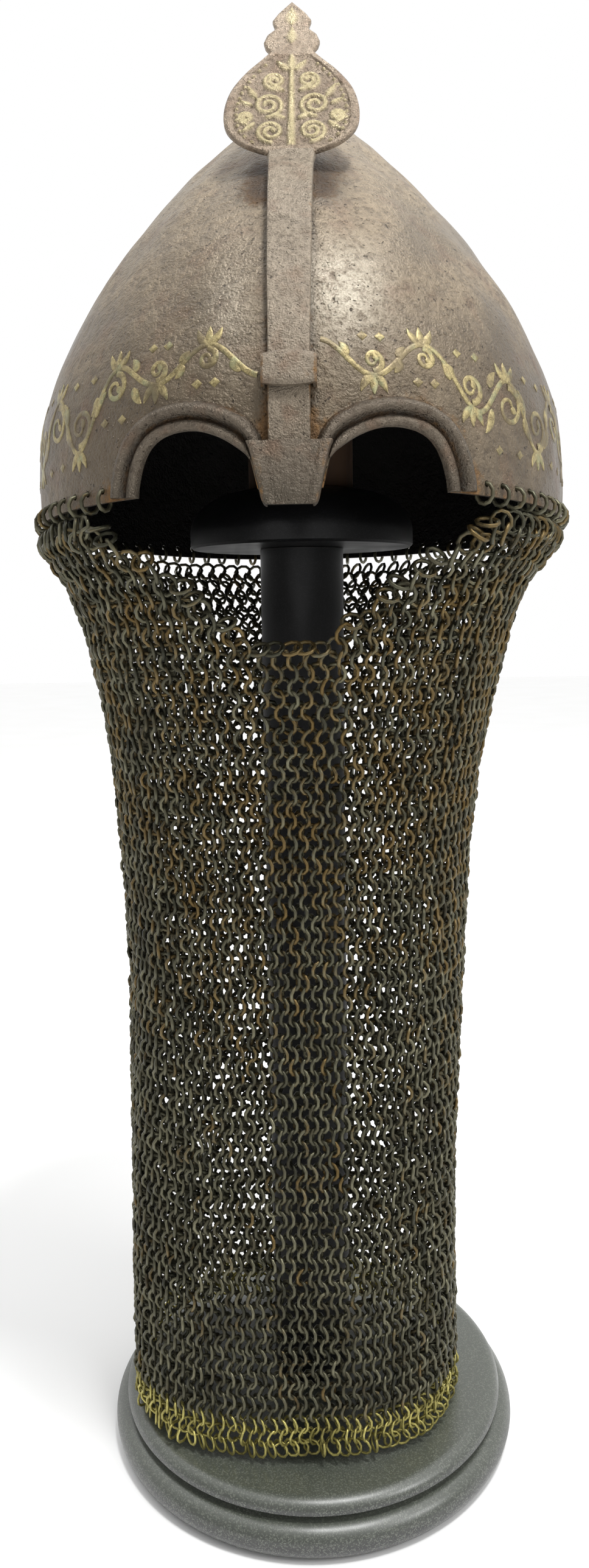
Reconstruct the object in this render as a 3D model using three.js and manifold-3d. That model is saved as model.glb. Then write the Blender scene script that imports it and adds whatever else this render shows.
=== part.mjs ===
// Conical iron helmet with a sliding nasal bar and a mail curtain, on its turned stand.
// Millimetres, +Z up, front towards -Y, origin at the middle of the stand's foot.
import * as THREE from "three";
import { mergeVertices } from "three/addons/utils/BufferGeometryUtils.js";
import Module from "manifold-3d";

const wasm = await Module();
wasm.setup();

// Driving dimensions
const GAP = 0.35;
const RIM_Z = 410.7;
const HELMET_TILT = THREE.MathUtils.degToRad(3);
const DEPTH_RATIO = 1.037;
const WALL = 1.8;
const AROUND = 64;

// Outside of the skull, from the rim to the point, at the sides
const SKULL_PROFILE = [
  { radius: 107.5, height: 0 },
  { radius: 107.5, height: 20 },
  { radius: 103.8, height: 45 },
  { radius: 91.1, height: 75 },
  { radius: 71.6, height: 105 },
  { radius: 45.9, height: 135 },
  { radius: 14.3, height: 165 },
  { radius: 0, height: 177 },
];

// Right eye opening, seen from the front, from the nose round to the temple
const EYE_OUTLINE = [
  { x: 12.9, z: 9.2 },
  { x: 15.3, z: 12.2 },
  { x: 21.5, z: 16.6 },
  { x: 29, z: 19.6 },
  { x: 36, z: 20.4 },
  { x: 43, z: 19.2 },
  { x: 48, z: 15.8 },
  { x: 51.3, z: 10 },
  { x: 53.2, z: 3 },
];
const EYE_NOSE_FOOT_X = 10.2;
const EYE_BOTTOM_Z = -12;
const BROW_BORDER = 7;
const BROW_HEIGHT = 2.6;

// Rim holes that carry the mail
const RIM_HOLE_COUNT = 80;
const RIM_HOLE_RADIUS = 1.1;
const RIM_HOLE_HEIGHT = 4;
const FACE_HALF_ANGLE = THREE.MathUtils.degToRad(37);

// Nasal bar: an arc in the middle plane, so that it slides along itself
const ARC_CENTRE = { y: 50.9, z: 4.9 };
const ARC_RADIUS = 164;
const ARC_STEPS = 180;
const BAR = { thickness: 2.6, lowZ: -2, taperZ: 46, topZ: 126.5, lowHalf: 7.2, topHalf: 8.6 };
const SLOT_HALF = 8.2;
const KEEPER_THICKNESS = 1.8;
const STAPLE = { half: 9.5, lowZ: 31.8, highZ: 40.8, bow: 1.1 };
const NOSE = { lowZ: -5, highZ: 14, lowHalf: 9.8, highHalf: 12.1 };

// Plate on top of the nasal bar, as half widths up its face
const PLATE_LEAN = THREE.MathUtils.degToRad(24);
const PLATE_FOOT = { y: -66.4, z: 124.2 };
const PLATE_THICKNESS = 2.2;
const PLATE_BODY = [
  { up: 0, half: 9 },
  { up: 4, half: 17.4 },
  { up: 10.5, half: 23.2 },
  { up: 19, half: 24.5 },
  { up: 29, half: 22.4 },
  { up: 37.5, half: 17.4 },
  { up: 44, half: 11.6 },
  { up: 48, half: 8 },
];
// Lobes, neck and pointed tip above the plate's body
const PLATE_CROWN = [
  { up: 50.4, half: 9.7 },
  { up: 53, half: 10.4 },
  { up: 56.6, half: 9.2 },
  { up: 59.6, half: 6.1 },
  { up: 63.8, half: 7.3 },
  { up: 67.4, half: 5.2 },
];
const PLATE_TOP = 73;

// Stub on the point of the skull
const STUB = { radius: 6.5, lowZ: 166, highZ: 195, round: 2 };

// Mail curtain, down from the rim: how far its middle hangs to one side, its half width, its reach to
// front and back, and the power of its plan curve, where 2 is an ellipse and more is squarer
const MAIL_SECTIONS = [
  { height: 404, side: -1, width: 105.8, front: 109.5, back: 109.5, power: 2 },
  { height: 389, side: -1.8, width: 94.5, front: 98, back: 101, power: 2 },
  { height: 373, side: -2.1, width: 89, front: 89.5, back: 94, power: 2 },
  { height: 342, side: -2.8, width: 82.8, front: 77, back: 82, power: 2.1 },
  { height: 310, side: -3.8, width: 78.1, front: 68.5, back: 71.5, power: 2.2 },
  { height: 277, side: -4.4, width: 75, front: 63, back: 62.5, power: 2.4 },
  { height: 225, side: -4.4, width: 72.7, front: 60, back: 53, power: 2.6 },
  { height: 140, side: -7, width: 71.8, front: 62, back: 48, power: 2.8 },
  { height: 24, side: -7.5, width: 73, front: 67, back: 49, power: 2.8 },
];
const MAIL_WALL = 5;
const MAIL_ROWS = 9;
const NOTCH = { halfAngle: THREE.MathUtils.degToRad(43.5), flatAngle: THREE.MathUtils.degToRad(7), depth: 48 };
const HEM = { bottom: 24, top: 40 };

// Stand
const STAND_STEPS = 40;
const FOOT = { radius: 93.5, rollCentre: 7.2, rollRadius: 7.2, groove: 85, shoulder: 88, top: 23 };
const POST_RADIUS = 17.7;
const CAP = { bottom: 403.8, radius: 47.2, side: 6, top: 427 };
const BLOCK_RADIUS = 22;

// Finishes
function finish(color, roughness, metalness) {
  return new THREE.MeshStandardMaterial({ color, roughness, metalness });
}

// A closed geometry as a solid that can be cut and joined
function solid(geometry) {
  const bare = geometry.clone();
  bare.deleteAttribute("normal");
  bare.deleteAttribute("uv");
  const merged = mergeVertices(bare, 1e-4);
  return new wasm.Manifold(
    new wasm.Mesh({
      numProp: 3,
      vertProperties: merged.attributes.position.array,
      triVerts: new Uint32Array(merged.index.array),
    }),
  );
}

function named(name, shape, material) {
  const cut = shape.getMesh();
  const geometry = new THREE.BufferGeometry();
  geometry.setAttribute("position", new THREE.BufferAttribute(cut.vertProperties, 3));
  geometry.setIndex(new THREE.BufferAttribute(cut.triVerts, 1));
  geometry.computeVertexNormals();
  const mesh = new THREE.Mesh(geometry, material);
  mesh.name = name;
  return mesh;
}

// A turned solid about +Z from radius and height points that run down the outside
function turned(points, steps) {
  const profile = points.map(([radius, height]) => new THREE.Vector2(Math.max(radius, 0), height));
  return new THREE.LatheGeometry(profile.reverse(), steps).rotateX(Math.PI / 2);
}

// A band about the nasal arc's axis, between two radii
function arcBand(inner, outer, half) {
  const profile = [
    new THREE.Vector2(inner, -half),
    new THREE.Vector2(outer, -half),
    new THREE.Vector2(outer, half),
    new THREE.Vector2(inner, half),
    new THREE.Vector2(inner, -half),
  ];
  const band = new THREE.LatheGeometry(profile, ARC_STEPS).rotateZ(-Math.PI / 2);
  return solid(band.translate(0, ARC_CENTRE.y, ARC_CENTRE.z));
}

// A front outline in x and z, pushed back through the front of the skull
function frontPrism(points, near = -150, far = -40) {
  const shape = new THREE.Shape(points.map(([x, z]) => new THREE.Vector2(x, z)));
  const prism = new THREE.ExtrudeGeometry(shape, { depth: far - near, bevelEnabled: false });
  return solid(prism.rotateX(Math.PI / 2).translate(0, far, 0));
}

const mirrored = (points) => points.map(([x, z]) => [-x, z]).reverse();

// Skull
const skullCurve = new THREE.SplineCurve(
  SKULL_PROFILE.map(({ radius, height }) => new THREE.Vector2(radius, height)),
);

// The skull's outside moved out by an offset, from the point down to the rim
function skullLine(offset, steps) {
  const line = [];
  for (let i = steps; i >= 0; i--) {
    const at = skullCurve.getPoint(i / steps);
    const along = skullCurve.getTangent(i / steps);
    const radius = i === steps ? 0 : at.x + offset * along.y;
    const height = i === 0 ? 0 : at.y - offset * along.x * (i === steps ? 1.35 : 1);
    line.push([radius, height]);
  }
  return line;
}

// The skull's outside as a filled form that runs on below the rim
function skullCore(offset, steps = 20) {
  const line = skullLine(offset, steps);
  const rim = line[line.length - 1][0];
  line.push([rim, -30], [0, -30]);
  return solid(turned(line, AROUND).scale(1, DEPTH_RATIO, 1));
}

function skullShell() {
  const outside = skullLine(0, 12);
  const inside = skullLine(-WALL, 8).reverse();
  return solid(turned([...outside, ...inside], AROUND).scale(1, DEPTH_RATIO, 1));
}

function rimHole(angle) {
  const drill = new THREE.CylinderGeometry(RIM_HOLE_RADIUS, RIM_HOLE_RADIUS, 14, 5);
  drill.translate(0, -SKULL_PROFILE[0].radius, 0).rotateZ(angle);
  return solid(drill.scale(1, DEPTH_RATIO, 1).translate(0, 0, RIM_HOLE_HEIGHT));
}

// One eye's outline, grown outwards by a border
function eyeOutline(grow) {
  const curve = new THREE.SplineCurve(EYE_OUTLINE.map(({ x, z }) => new THREE.Vector2(x, z)));
  const steps = 16;
  const points = [];
  for (let i = 0; i <= steps; i++) {
    const at = curve.getPoint(i / steps);
    const along = curve.getTangent(i / steps);
    points.push([at.x - along.y * grow, at.y + along.x * grow]);
  }
  const outerFoot = points[points.length - 1][0] + 0.3;
  const innerFoot = Math.max(EYE_NOSE_FOOT_X - grow, 0.5);
  return [[innerFoot, EYE_BOTTOM_Z], ...points, [outerFoot, EYE_BOTTOM_Z]].reverse();
}

function bothEyes(grow) {
  const right = eyeOutline(grow);
  return frontPrism(right).add(frontPrism(mirrored(right)));
}

const eyes = bothEyes(0);
let skull = skullShell().subtract(eyes);
for (let i = 0; i < RIM_HOLE_COUNT; i++) {
  const angle = ((i + 0.5) / RIM_HOLE_COUNT) * 2 * Math.PI;
  if (Math.min(angle, 2 * Math.PI - angle) > FACE_HALF_ANGLE) skull = skull.subtract(rimHole(angle));
}

// Brow guard: a raised border round each eye, and the nose piece that the bar tucks behind
const slot = arcBand(ARC_RADIUS - 20, ARC_RADIUS + BAR.thickness + GAP, SLOT_HALF);
const keeperReach = ARC_RADIUS + BAR.thickness + GAP + KEEPER_THICKNESS;
const seat = skullCore(GAP);

function browGuard() {
  const rimCut = frontPrism([[-90, 0], [90, 0], [90, 60], [-90, 60]]);
  const borders = bothEyes(BROW_BORDER).intersect(skullCore(GAP + BROW_HEIGHT)).intersect(rimCut);
  const nose = frontPrism([
    [NOSE.lowHalf, NOSE.lowZ],
    [NOSE.highHalf, NOSE.highZ],
    [-NOSE.highHalf, NOSE.highZ],
    [-NOSE.lowHalf, NOSE.lowZ],
  ]).intersect(arcBand(ARC_RADIUS - 20, keeperReach, 20));
  return borders.add(nose).subtract(seat).subtract(eyes).subtract(slot);
}

// Staple that keeps the bar against the brow
function staple() {
  const { half, lowZ, highZ, bow } = STAPLE;
  const outline = [];
  for (const side of [-1, -0.5, 0, 0.5, 1]) outline.push([side * half, lowZ - bow * (1 - side * side)]);
  for (const side of [1, 0.5, 0, -0.5, -1]) outline.push([side * half, highZ + bow * (1 - side * side)]);
  const bridge = frontPrism(outline).intersect(arcBand(ARC_RADIUS - 20, keeperReach, 20));
  return bridge.subtract(seat).subtract(slot);
}

// Nasal bar with its finial plate
function plateOutline() {
  const body = new THREE.SplineCurve(PLATE_BODY.map(({ up, half }) => new THREE.Vector2(half, up)));
  const right = body.getPoints(16).map(({ x, y }) => [x, y]);
  for (const { up, half } of PLATE_CROWN) right.push([half, up]);
  return [...right, [0, PLATE_TOP], ...mirrored(right)];
}

function nasalBar() {
  const { thickness, lowZ, taperZ, topZ, lowHalf, topHalf } = BAR;
  const outline = frontPrism([
    [lowHalf - 1.5, lowZ],
    [lowHalf, lowZ + 2],
    [lowHalf, taperZ],
    [topHalf, topZ],
    [-topHalf, topZ],
    [-lowHalf, taperZ],
    [-lowHalf, lowZ + 2],
    [-lowHalf + 1.5, lowZ],
  ]);
  const bar = arcBand(ARC_RADIUS, ARC_RADIUS + thickness, 20).intersect(outline);
  const shape = new THREE.Shape(plateOutline().map(([x, up]) => new THREE.Vector2(x, up)));
  const plate = new THREE.ExtrudeGeometry(shape, { depth: PLATE_THICKNESS, bevelEnabled: false });
  plate.translate(0, 0, -PLATE_THICKNESS).rotateX(Math.PI / 2 - PLATE_LEAN);
  return bar.add(solid(plate.translate(0, PLATE_FOOT.y, PLATE_FOOT.z)));
}

// Stub on the point of the skull, with a rounded top
function crownStub() {
  const { radius, lowZ, highZ, round } = STUB;
  const outline = [[0, highZ], [radius - round, highZ], [radius - round * 0.3, highZ - round * 0.3]];
  outline.push([radius, highZ - round], [radius, lowZ], [0, lowZ]);
  return solid(turned(outline, 16)).subtract(seat);
}

// Mail
function mailSection(height) {
  const last = MAIL_SECTIONS.length - 1;
  if (height >= MAIL_SECTIONS[0].height) return MAIL_SECTIONS[0];
  if (height <= MAIL_SECTIONS[last].height) return MAIL_SECTIONS[last];
  const below = MAIL_SECTIONS.findIndex((section) => section.height < height);
  const upper = MAIL_SECTIONS[below - 1];
  const lower = MAIL_SECTIONS[below];
  const share = (upper.height - height) / (upper.height - lower.height);
  const mix = (key) => THREE.MathUtils.lerp(upper[key], lower[key], share);
  return Object.fromEntries(Object.keys(upper).map((key) => [key, mix(key)]));
}

// A sine or cosine bent to the power of the mail's plan curve
function bent(value, power) {
  return Math.sign(value) * Math.abs(value) ** (2 / power);
}

// A point of the mail at an angle from the front, a height, and a distance out from its middle
function mailPoint(angle, height, out) {
  const { side, width, front, back, power } = mailSection(height);
  const reach = Math.cos(angle) > 0 ? front : back;
  const across = side + (width + out) * bent(Math.sin(angle), power);
  return [across, -(reach + out) * bent(Math.cos(angle), power), height];
}

// Height of the mail's upper edge: the tilted rim, with the notch below the face
function mailTop(angle) {
  const fromFront = Math.min(angle, 2 * Math.PI - angle);
  const share = (NOTCH.halfAngle - fromFront) / (NOTCH.halfAngle - NOTCH.flatAngle);
  const notch = NOTCH.depth * THREE.MathUtils.clamp(share, 0, 1);
  const rimY = -MAIL_SECTIONS[0].front * Math.cos(angle);
  return RIM_Z - GAP - rimY * Math.sin(HELMET_TILT) - notch;
}

// A closed wall of mail between an upper and a lower edge
function mailWall(upperEdge, lowerEdge, rows) {
  const vertices = [];
  const faces = [];
  const ring = 2 * (rows + 1);
  for (let column = 0; column < AROUND; column++) {
    const angle = (column / AROUND) * 2 * Math.PI;
    const top = upperEdge(angle);
    const heights = [];
    for (let row = 0; row <= rows; row++) {
      heights.push(THREE.MathUtils.lerp(top, lowerEdge, row / rows));
    }
    for (const height of heights) vertices.push(...mailPoint(angle, height, MAIL_WALL / 2));
    for (const height of heights.reverse()) vertices.push(...mailPoint(angle, height, -MAIL_WALL / 2));
    const next = (column + 1) % AROUND;
    for (let i = 0; i < ring; i++) {
      const j = (i + 1) % ring;
      const [a, b, c, d] = [column * ring + i, column * ring + j, next * ring + j, next * ring + i];
      faces.push(a, b, c, a, c, d);
    }
  }
  const geometry = new THREE.BufferGeometry();
  geometry.setAttribute("position", new THREE.Float32BufferAttribute(vertices, 3));
  geometry.setIndex(faces);
  return solid(geometry);
}

// Stand
function standFoot() {
  const { radius, rollCentre, rollRadius, groove, shoulder, top } = FOOT;
  const outline = [[0, top], [shoulder - 6, top]];
  for (const turn of [0.25, 0.5, 0.75, 1]) {
    const bend = (turn * Math.PI) / 2;
    outline.push([shoulder - 6 + 6 * Math.sin(bend), top - 5 + 5 * Math.cos(bend)]);
  }
  outline.push([groove, 2 * rollCentre + 1.6], [groove, 2 * rollCentre + 0.6]);
  for (let i = 0; i <= 6; i++) {
    const bend = (i / 6) * Math.PI;
    outline.push([radius - rollRadius + rollRadius * Math.sin(bend), rollCentre * (1 + Math.cos(bend))]);
  }
  outline.push([0, 0]);
  return solid(turned(outline, STAND_STEPS));
}

function standPost() {
  const low = FOOT.top + GAP;
  const high = CAP.bottom - GAP;
  return solid(turned([[0, high], [POST_RADIUS, high], [POST_RADIUS, low], [0, low]], STAND_STEPS));
}

function standCap() {
  const { bottom, radius, side, top } = CAP;
  const outline = [[0, top], [BLOCK_RADIUS + 1, top]];
  for (let i = 1; i <= 6; i++) {
    const bend = (i / 6) * (Math.PI / 2);
    const reach = BLOCK_RADIUS + 1 + (radius - BLOCK_RADIUS - 1) * Math.sin(bend);
    outline.push([reach, bottom + side + (top - bottom - side) * Math.cos(bend)]);
  }
  outline.push([radius, bottom], [0, bottom]);
  return solid(turned(outline, STAND_STEPS));
}

// Wooden block under the crown, shaped to the inside of the tilted skull
function standBlock() {
  const low = CAP.top + GAP;
  const high = RIM_Z + SKULL_PROFILE[SKULL_PROFILE.length - 1].height;
  const rod = solid(turned([[0, high], [BLOCK_RADIUS, high], [BLOCK_RADIUS, low], [0, low]], STAND_STEPS));
  const hollow = turned([...skullLine(-WALL - GAP, 18), [0, 0]], AROUND).scale(1, DEPTH_RATIO, 1);
  hollow.rotateX(-HELMET_TILT).translate(0, 0, RIM_Z);
  return rod.intersect(solid(hollow));
}

// Assembly
const iron = finish(0x8d7d6a, 0.5, 0.9);
const brightIron = finish(0xa8977f, 0.45, 0.9);
const mailIron = finish(0x4a443d, 0.5, 0.9);
const brass = finish(0x9c8548, 0.4, 0.9);
const blackPaint = finish(0x151515, 0.45, 0.1);
const wood = finish(0x6b4426, 0.7, 0);

const helmet = new THREE.Group();
helmet.position.z = RIM_Z;
helmet.rotation.x = -HELMET_TILT;
helmet.add(named("skull", skull, iron));
helmet.add(named("brow_guard", browGuard(), brightIron));
helmet.add(named("nasal_staple", staple(), iron));
helmet.add(named("nasal_bar", nasalBar(), brightIron));
helmet.add(named("crown_stub", crownStub(), iron));

const mail = new THREE.Group();
mail.add(named("mail_curtain", mailWall(mailTop, HEM.top, MAIL_ROWS), mailIron));
mail.add(named("mail_hem", mailWall(() => HEM.top - GAP, HEM.bottom, 1), brass));

const stand = new THREE.Group();
stand.add(named("stand_foot", standFoot(), blackPaint));
stand.add(named("stand_post", standPost(), blackPaint));
stand.add(named("stand_cap", standCap(), blackPaint));
stand.add(named("stand_block", standBlock(), wood));

const group = new THREE.Group();
group.add(helmet, mail, stand);

export default group;
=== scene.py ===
import math
import bpy
import numpy as np
from mathutils import Matrix, Vector


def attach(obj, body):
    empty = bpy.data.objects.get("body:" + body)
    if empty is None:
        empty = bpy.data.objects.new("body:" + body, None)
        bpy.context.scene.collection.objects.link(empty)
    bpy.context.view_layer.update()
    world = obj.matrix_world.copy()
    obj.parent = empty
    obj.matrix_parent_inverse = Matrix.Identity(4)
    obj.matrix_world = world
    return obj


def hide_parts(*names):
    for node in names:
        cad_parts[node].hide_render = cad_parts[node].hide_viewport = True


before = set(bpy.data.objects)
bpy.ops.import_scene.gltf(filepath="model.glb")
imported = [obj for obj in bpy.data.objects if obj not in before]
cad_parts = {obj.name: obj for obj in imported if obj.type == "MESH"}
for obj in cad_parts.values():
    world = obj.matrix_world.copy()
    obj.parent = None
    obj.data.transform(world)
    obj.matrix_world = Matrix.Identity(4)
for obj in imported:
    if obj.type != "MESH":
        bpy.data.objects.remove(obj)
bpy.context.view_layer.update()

# Sizes are in millimetres. The helmet's own frame is tilted, with the middle of its rim as its origin.
MM = 0.001
RIM_Z = 410.7
TILT = math.radians(3)
DEPTH_RATIO = 1.037
WALL = 1.8
SKULL_PROFILE = [
    (107.5, 0), (107.5, 20), (103.8, 45), (91.1, 75),
    (71.6, 105), (45.9, 135), (14.3, 165), (0, 177),
]
PROFILE_POINTS = 600
EYE_OUTLINE = [
    (12.9, 9.2), (15.3, 12.2), (21.5, 16.6), (29, 19.6), (36, 20.4),
    (43, 19.2), (48, 15.8), (51.3, 10), (53.2, 3),
]
EYE_STEPS = 40
EYE_NOSE_FOOT_X = 7.8
RIM_HOLE_COUNT = 80
RIM_HOLE_RADIUS = 1.15
RIM_HOLE_HEIGHT = 4
FACE_HALF_ANGLE = math.radians(37)
ARC_CENTRE_Y = 50.9
ARC_CENTRE_Z = 4.9
ARC_RADIUS = 164
BAR_THICKNESS = 2.6
BAR_LOW_Z = -2
BAR_TAPER_Z = 46
BAR_TOP_Z = 126.5
TONGUE_Z = 121.6
BAR_LOW_HALF = 6.9
BAR_TOP_HALF = 8.1
KEEPER_GAP = 0.35
KEEPER_THICKNESS = 1.8
PLATE_LEAN = math.radians(24)
PLATE_FOOT = (-66.4, 124.2)
PLATE_THICKNESS = 2.2
PLATE_BODY = [(9, 0), (17.4, 4), (23.2, 10.5), (24.5, 19), (22.4, 29), (17.4, 37.5), (11.6, 44), (8, 48)]
PLATE_CROWN = [(9.7, 50.4), (10.4, 53), (9.2, 56.6), (6.1, 59.6), (7.3, 63.8), (5.2, 67.4), (0.4, 73)]
MAIL_HEIGHT = [404, 389, 373, 342, 310, 277, 225, 140, 24]
MAIL_SIDE = [-1, -1.8, -2.1, -2.8, -3.8, -4.4, -4.4, -7, -7.5]
MAIL_WIDTH = [105.8, 94.5, 89, 82.8, 78.1, 75, 72.7, 71.8, 73]
MAIL_FRONT = [109.5, 98, 89.5, 77, 68.5, 63, 60, 62, 67]
MAIL_BACK = [109.5, 101, 94, 82, 71.5, 62.5, 53, 48, 49]
MAIL_POWER = [2, 2, 2, 2.1, 2.2, 2.4, 2.6, 2.8, 2.8]
NOTCH_HALF_ANGLE = math.radians(43.5)
NOTCH_FLAT_ANGLE = math.radians(7)
NOTCH_DEPTH = 48
HEM_BOTTOM = 24
FOOT_TOP = 23
POST_RADIUS = 17.7
CAP_BOTTOM = 403.8
CAP_RADIUS = 47.2
CAP_TOP = 427
BLOCK_RADIUS = 22

SEED = 41
chance = np.random.default_rng(SEED)


# Curves and surfaces

def smooth_step(low, high, value):
    """Eases from 0 at the low value to 1 at the high one, which may be the smaller of the two."""
    t = np.clip((np.asarray(value, float) - low) / (high - low), 0, 1)
    return t * t * (3 - 2 * t)


def from_front(angle):
    """Angle away from the front, to either side."""
    return np.abs((angle + math.pi) % (2 * math.pi) - math.pi)


def spline(points, count):
    """A smooth curve through the points, the same one that the part's source draws."""
    points = np.asarray(points, float)
    last = len(points) - 1
    place = np.linspace(0, last, count)
    start = np.minimum(place.astype(int), last - 1)
    t = (place - start)[:, None]
    p0 = points[np.maximum(start - 1, 0)]
    p0[start == 0] = points[0]
    p1 = points[start]
    p2 = points[np.minimum(start + 1, last)]
    p3 = points[np.minimum(start + 2, last)]
    v0 = (p2 - p0) / 2
    v1 = (p3 - p1) / 2
    return (2 * p1 - 2 * p2 + v0 + v1) * t**3 + (-3 * p1 + 3 * p2 - 2 * v0 - v1) * t**2 + v0 * t + p1


SKULL_LINE = spline(SKULL_PROFILE, PROFILE_POINTS)


def skull_radius(z):
    return np.interp(z, SKULL_LINE[:, 1], SKULL_LINE[:, 0])


def skull_slope(z):
    """Change of the skull's radius over a millimetre of height."""
    return skull_radius(np.asarray(z) + 0.5) - skull_radius(np.asarray(z) - 0.5)


HAMMER_WAVES = 40
HAMMER_SHORTEST = 9
HAMMER_LONGEST = 46
HAMMER_DEPTH = 0.07
FACETS = 18
FACET_DEPTH = 0.55
hammer_turn = chance.uniform(0, 2 * math.pi, HAMMER_WAVES)
hammer_way = chance.normal(size=(HAMMER_WAVES, 3))
hammer_way /= np.linalg.norm(hammer_way, axis=1)[:, None]
hammer_length = chance.uniform(HAMMER_SHORTEST, HAMMER_LONGEST, HAMMER_WAVES)


def hammer_marks(points):
    """Low dents of the hammer and faint upright facets, in millimetres, at points of the helmet's frame."""
    phase = points @ (hammer_way / hammer_length[:, None]).T * 2 * math.pi + hammer_turn
    dents = (np.sin(phase) * hammer_length / HAMMER_LONGEST).sum(-1) * HAMMER_DEPTH
    angle = np.arctan2(points[..., 0], -points[..., 1])
    facets = np.abs(np.sin(FACETS / 2 * angle + 0.6)) - 0.6
    height = points[..., 2]
    return dents + FACET_DEPTH * facets * smooth_step(45, 85, height) * smooth_step(165, 130, height)


def on_skull(angle, z, out=0.0, dented=True):
    """Points of the skull's outside at an angle from the front and a height, moved out along the normal."""
    angle, z = np.broadcast_arrays(np.asarray(angle, float), np.asarray(z, float))
    radius = skull_radius(z)
    normal = np.stack([DEPTH_RATIO * np.sin(angle), -np.cos(angle), -DEPTH_RATIO * skull_slope(z)], -1)
    normal /= np.linalg.norm(normal, axis=-1)[..., None]
    points = np.stack([radius * np.sin(angle), -DEPTH_RATIO * radius * np.cos(angle), z], -1)
    lift = np.asarray(out, float)
    if dented:
        lift = lift + hammer_marks(points)
    return points + normal * np.broadcast_to(lift, angle.shape)[..., None]


def front_of_skull(x, z, out=0.0):
    """Points on the front of the skull, from their place in the front view."""
    radius = skull_radius(z)
    return on_skull(np.arcsin(np.clip(np.asarray(x) / radius, -1, 1)), z, out, dented=False)


def arc_point(x, z, out):
    """Points on the nasal bar's arc, at a distance out from its inner face."""
    x, z, out = np.broadcast_arrays(np.asarray(x, float), np.asarray(z, float), np.asarray(out, float))
    rise = np.arcsin((z - ARC_CENTRE_Z) / ARC_RADIUS)
    reach = ARC_RADIUS + out
    return np.stack([x, ARC_CENTRE_Y - reach * np.cos(rise), ARC_CENTRE_Z + reach * np.sin(rise)], -1)


def bar_half(z):
    """Half the bar's width at a height."""
    return np.interp(z, [BAR_TAPER_Z, BAR_TOP_Z], [BAR_LOW_HALF, BAR_TOP_HALF])


def to_world(points):
    """From the helmet's tilted frame to the object's frame."""
    x, y, z = np.moveaxis(np.asarray(points, float), -1, 0)
    turned_y = y * math.cos(TILT) + z * math.sin(TILT)
    return np.stack([x, turned_y, RIM_Z - y * math.sin(TILT) + z * math.cos(TILT)], -1)


def from_world(points):
    """From the object's frame to the helmet's tilted frame."""
    x, y, z = np.moveaxis(np.asarray(points, float), -1, 0)
    z = z - RIM_Z
    return np.stack([x, y * math.cos(TILT) - z * math.sin(TILT), y * math.sin(TILT) + z * math.cos(TILT)], -1)


# Mesh making

def build_mesh(name, points, quads=(), triangles=()):
    """A mesh from points in millimetres and lists of corner numbers."""
    mesh = bpy.data.meshes.new(name)
    quads = np.asarray(quads, np.int32).reshape(-1, 4)
    triangles = np.asarray(triangles, np.int32).reshape(-1, 3)
    corners = np.concatenate([quads.ravel(), triangles.ravel()])
    first_of_triangles = 4 * len(quads) + 3 * np.arange(len(triangles))
    starts = np.concatenate([4 * np.arange(len(quads)), first_of_triangles]).astype(np.int32)
    points = np.asarray(points, np.float32).reshape(-1, 3) * MM
    mesh.vertices.add(len(points))
    mesh.vertices.foreach_set("co", points.ravel())
    mesh.loops.add(len(corners))
    mesh.loops.foreach_set("vertex_index", corners)
    mesh.polygons.add(len(starts))
    mesh.polygons.foreach_set("loop_start", starts)
    mesh.update(calc_edges=True)
    return mesh


def grid_quads(rows, columns, wrap_rows=False, wrap_columns=False, first=0):
    """Quads of a grid of points stored row by row."""
    row = np.arange(rows if wrap_rows else rows - 1)
    column = np.arange(columns if wrap_columns else columns - 1)
    a = row[:, None] * columns + column[None]
    b = row[:, None] * columns + (column[None] + 1) % columns
    c = (row[:, None] + 1) % rows * columns + (column[None] + 1) % columns
    d = (row[:, None] + 1) % rows * columns + column[None]
    return np.stack([a, b, c, d], -1).reshape(-1, 4) + first


def fan(ring, centre, flip=False):
    """Triangles from a ring of points to a centre point."""
    following = np.roll(ring, -1)
    faces = np.stack([following, ring] if flip else [ring, following], -1)
    return np.concatenate([faces, np.full((len(ring), 1), centre)], 1)


def place_piece(name, mesh, material, body, stands_for=(), sharp=38):
    """Puts a mesh in the scene as a piece that rides a body, and hides the nodes that it stands for."""
    mesh.materials.clear()
    mesh.materials.append(material)
    mesh.shade_smooth()
    if sharp:
        mesh.set_sharp_from_angle(angle=math.radians(sharp))
    piece = bpy.data.objects.new(name, mesh)
    bpy.context.scene.collection.objects.link(piece)
    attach(piece, body)
    if stands_for:
        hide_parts(*stands_for)


def point_values(mesh, name, values):
    """Stores one number per point, for a material to read by name."""
    layer = mesh.attributes.new(name, "FLOAT", "POINT")
    layer.data.foreach_set("value", np.asarray(values, np.float32).ravel())


def mesh_points(mesh):
    """The mesh's points in millimetres."""
    points = np.empty(3 * len(mesh.vertices), np.float32)
    mesh.vertices.foreach_get("co", points)
    return points.reshape(-1, 3) / MM


def sweep_faces(rows, columns):
    """Closed sweep of a ring section, with its two ends filled from a middle point each."""
    quads = grid_quads(rows, columns, wrap_columns=True)
    low = np.arange(columns)
    high = low + (rows - 1) * columns
    triangles = np.concatenate([fan(low, rows * columns, True), fan(high, rows * columns + 1)])
    return quads, triangles


def swept(name, rings):
    """A closed mesh through a stack of section rings."""
    rings = np.asarray(rings, float)
    ends = np.stack([rings[0].mean(0), rings[-1].mean(0)])
    quads, triangles = sweep_faces(rings.shape[0], rings.shape[1])
    return build_mesh(name, np.concatenate([rings.reshape(-1, 3), ends]), quads, triangles)


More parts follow.
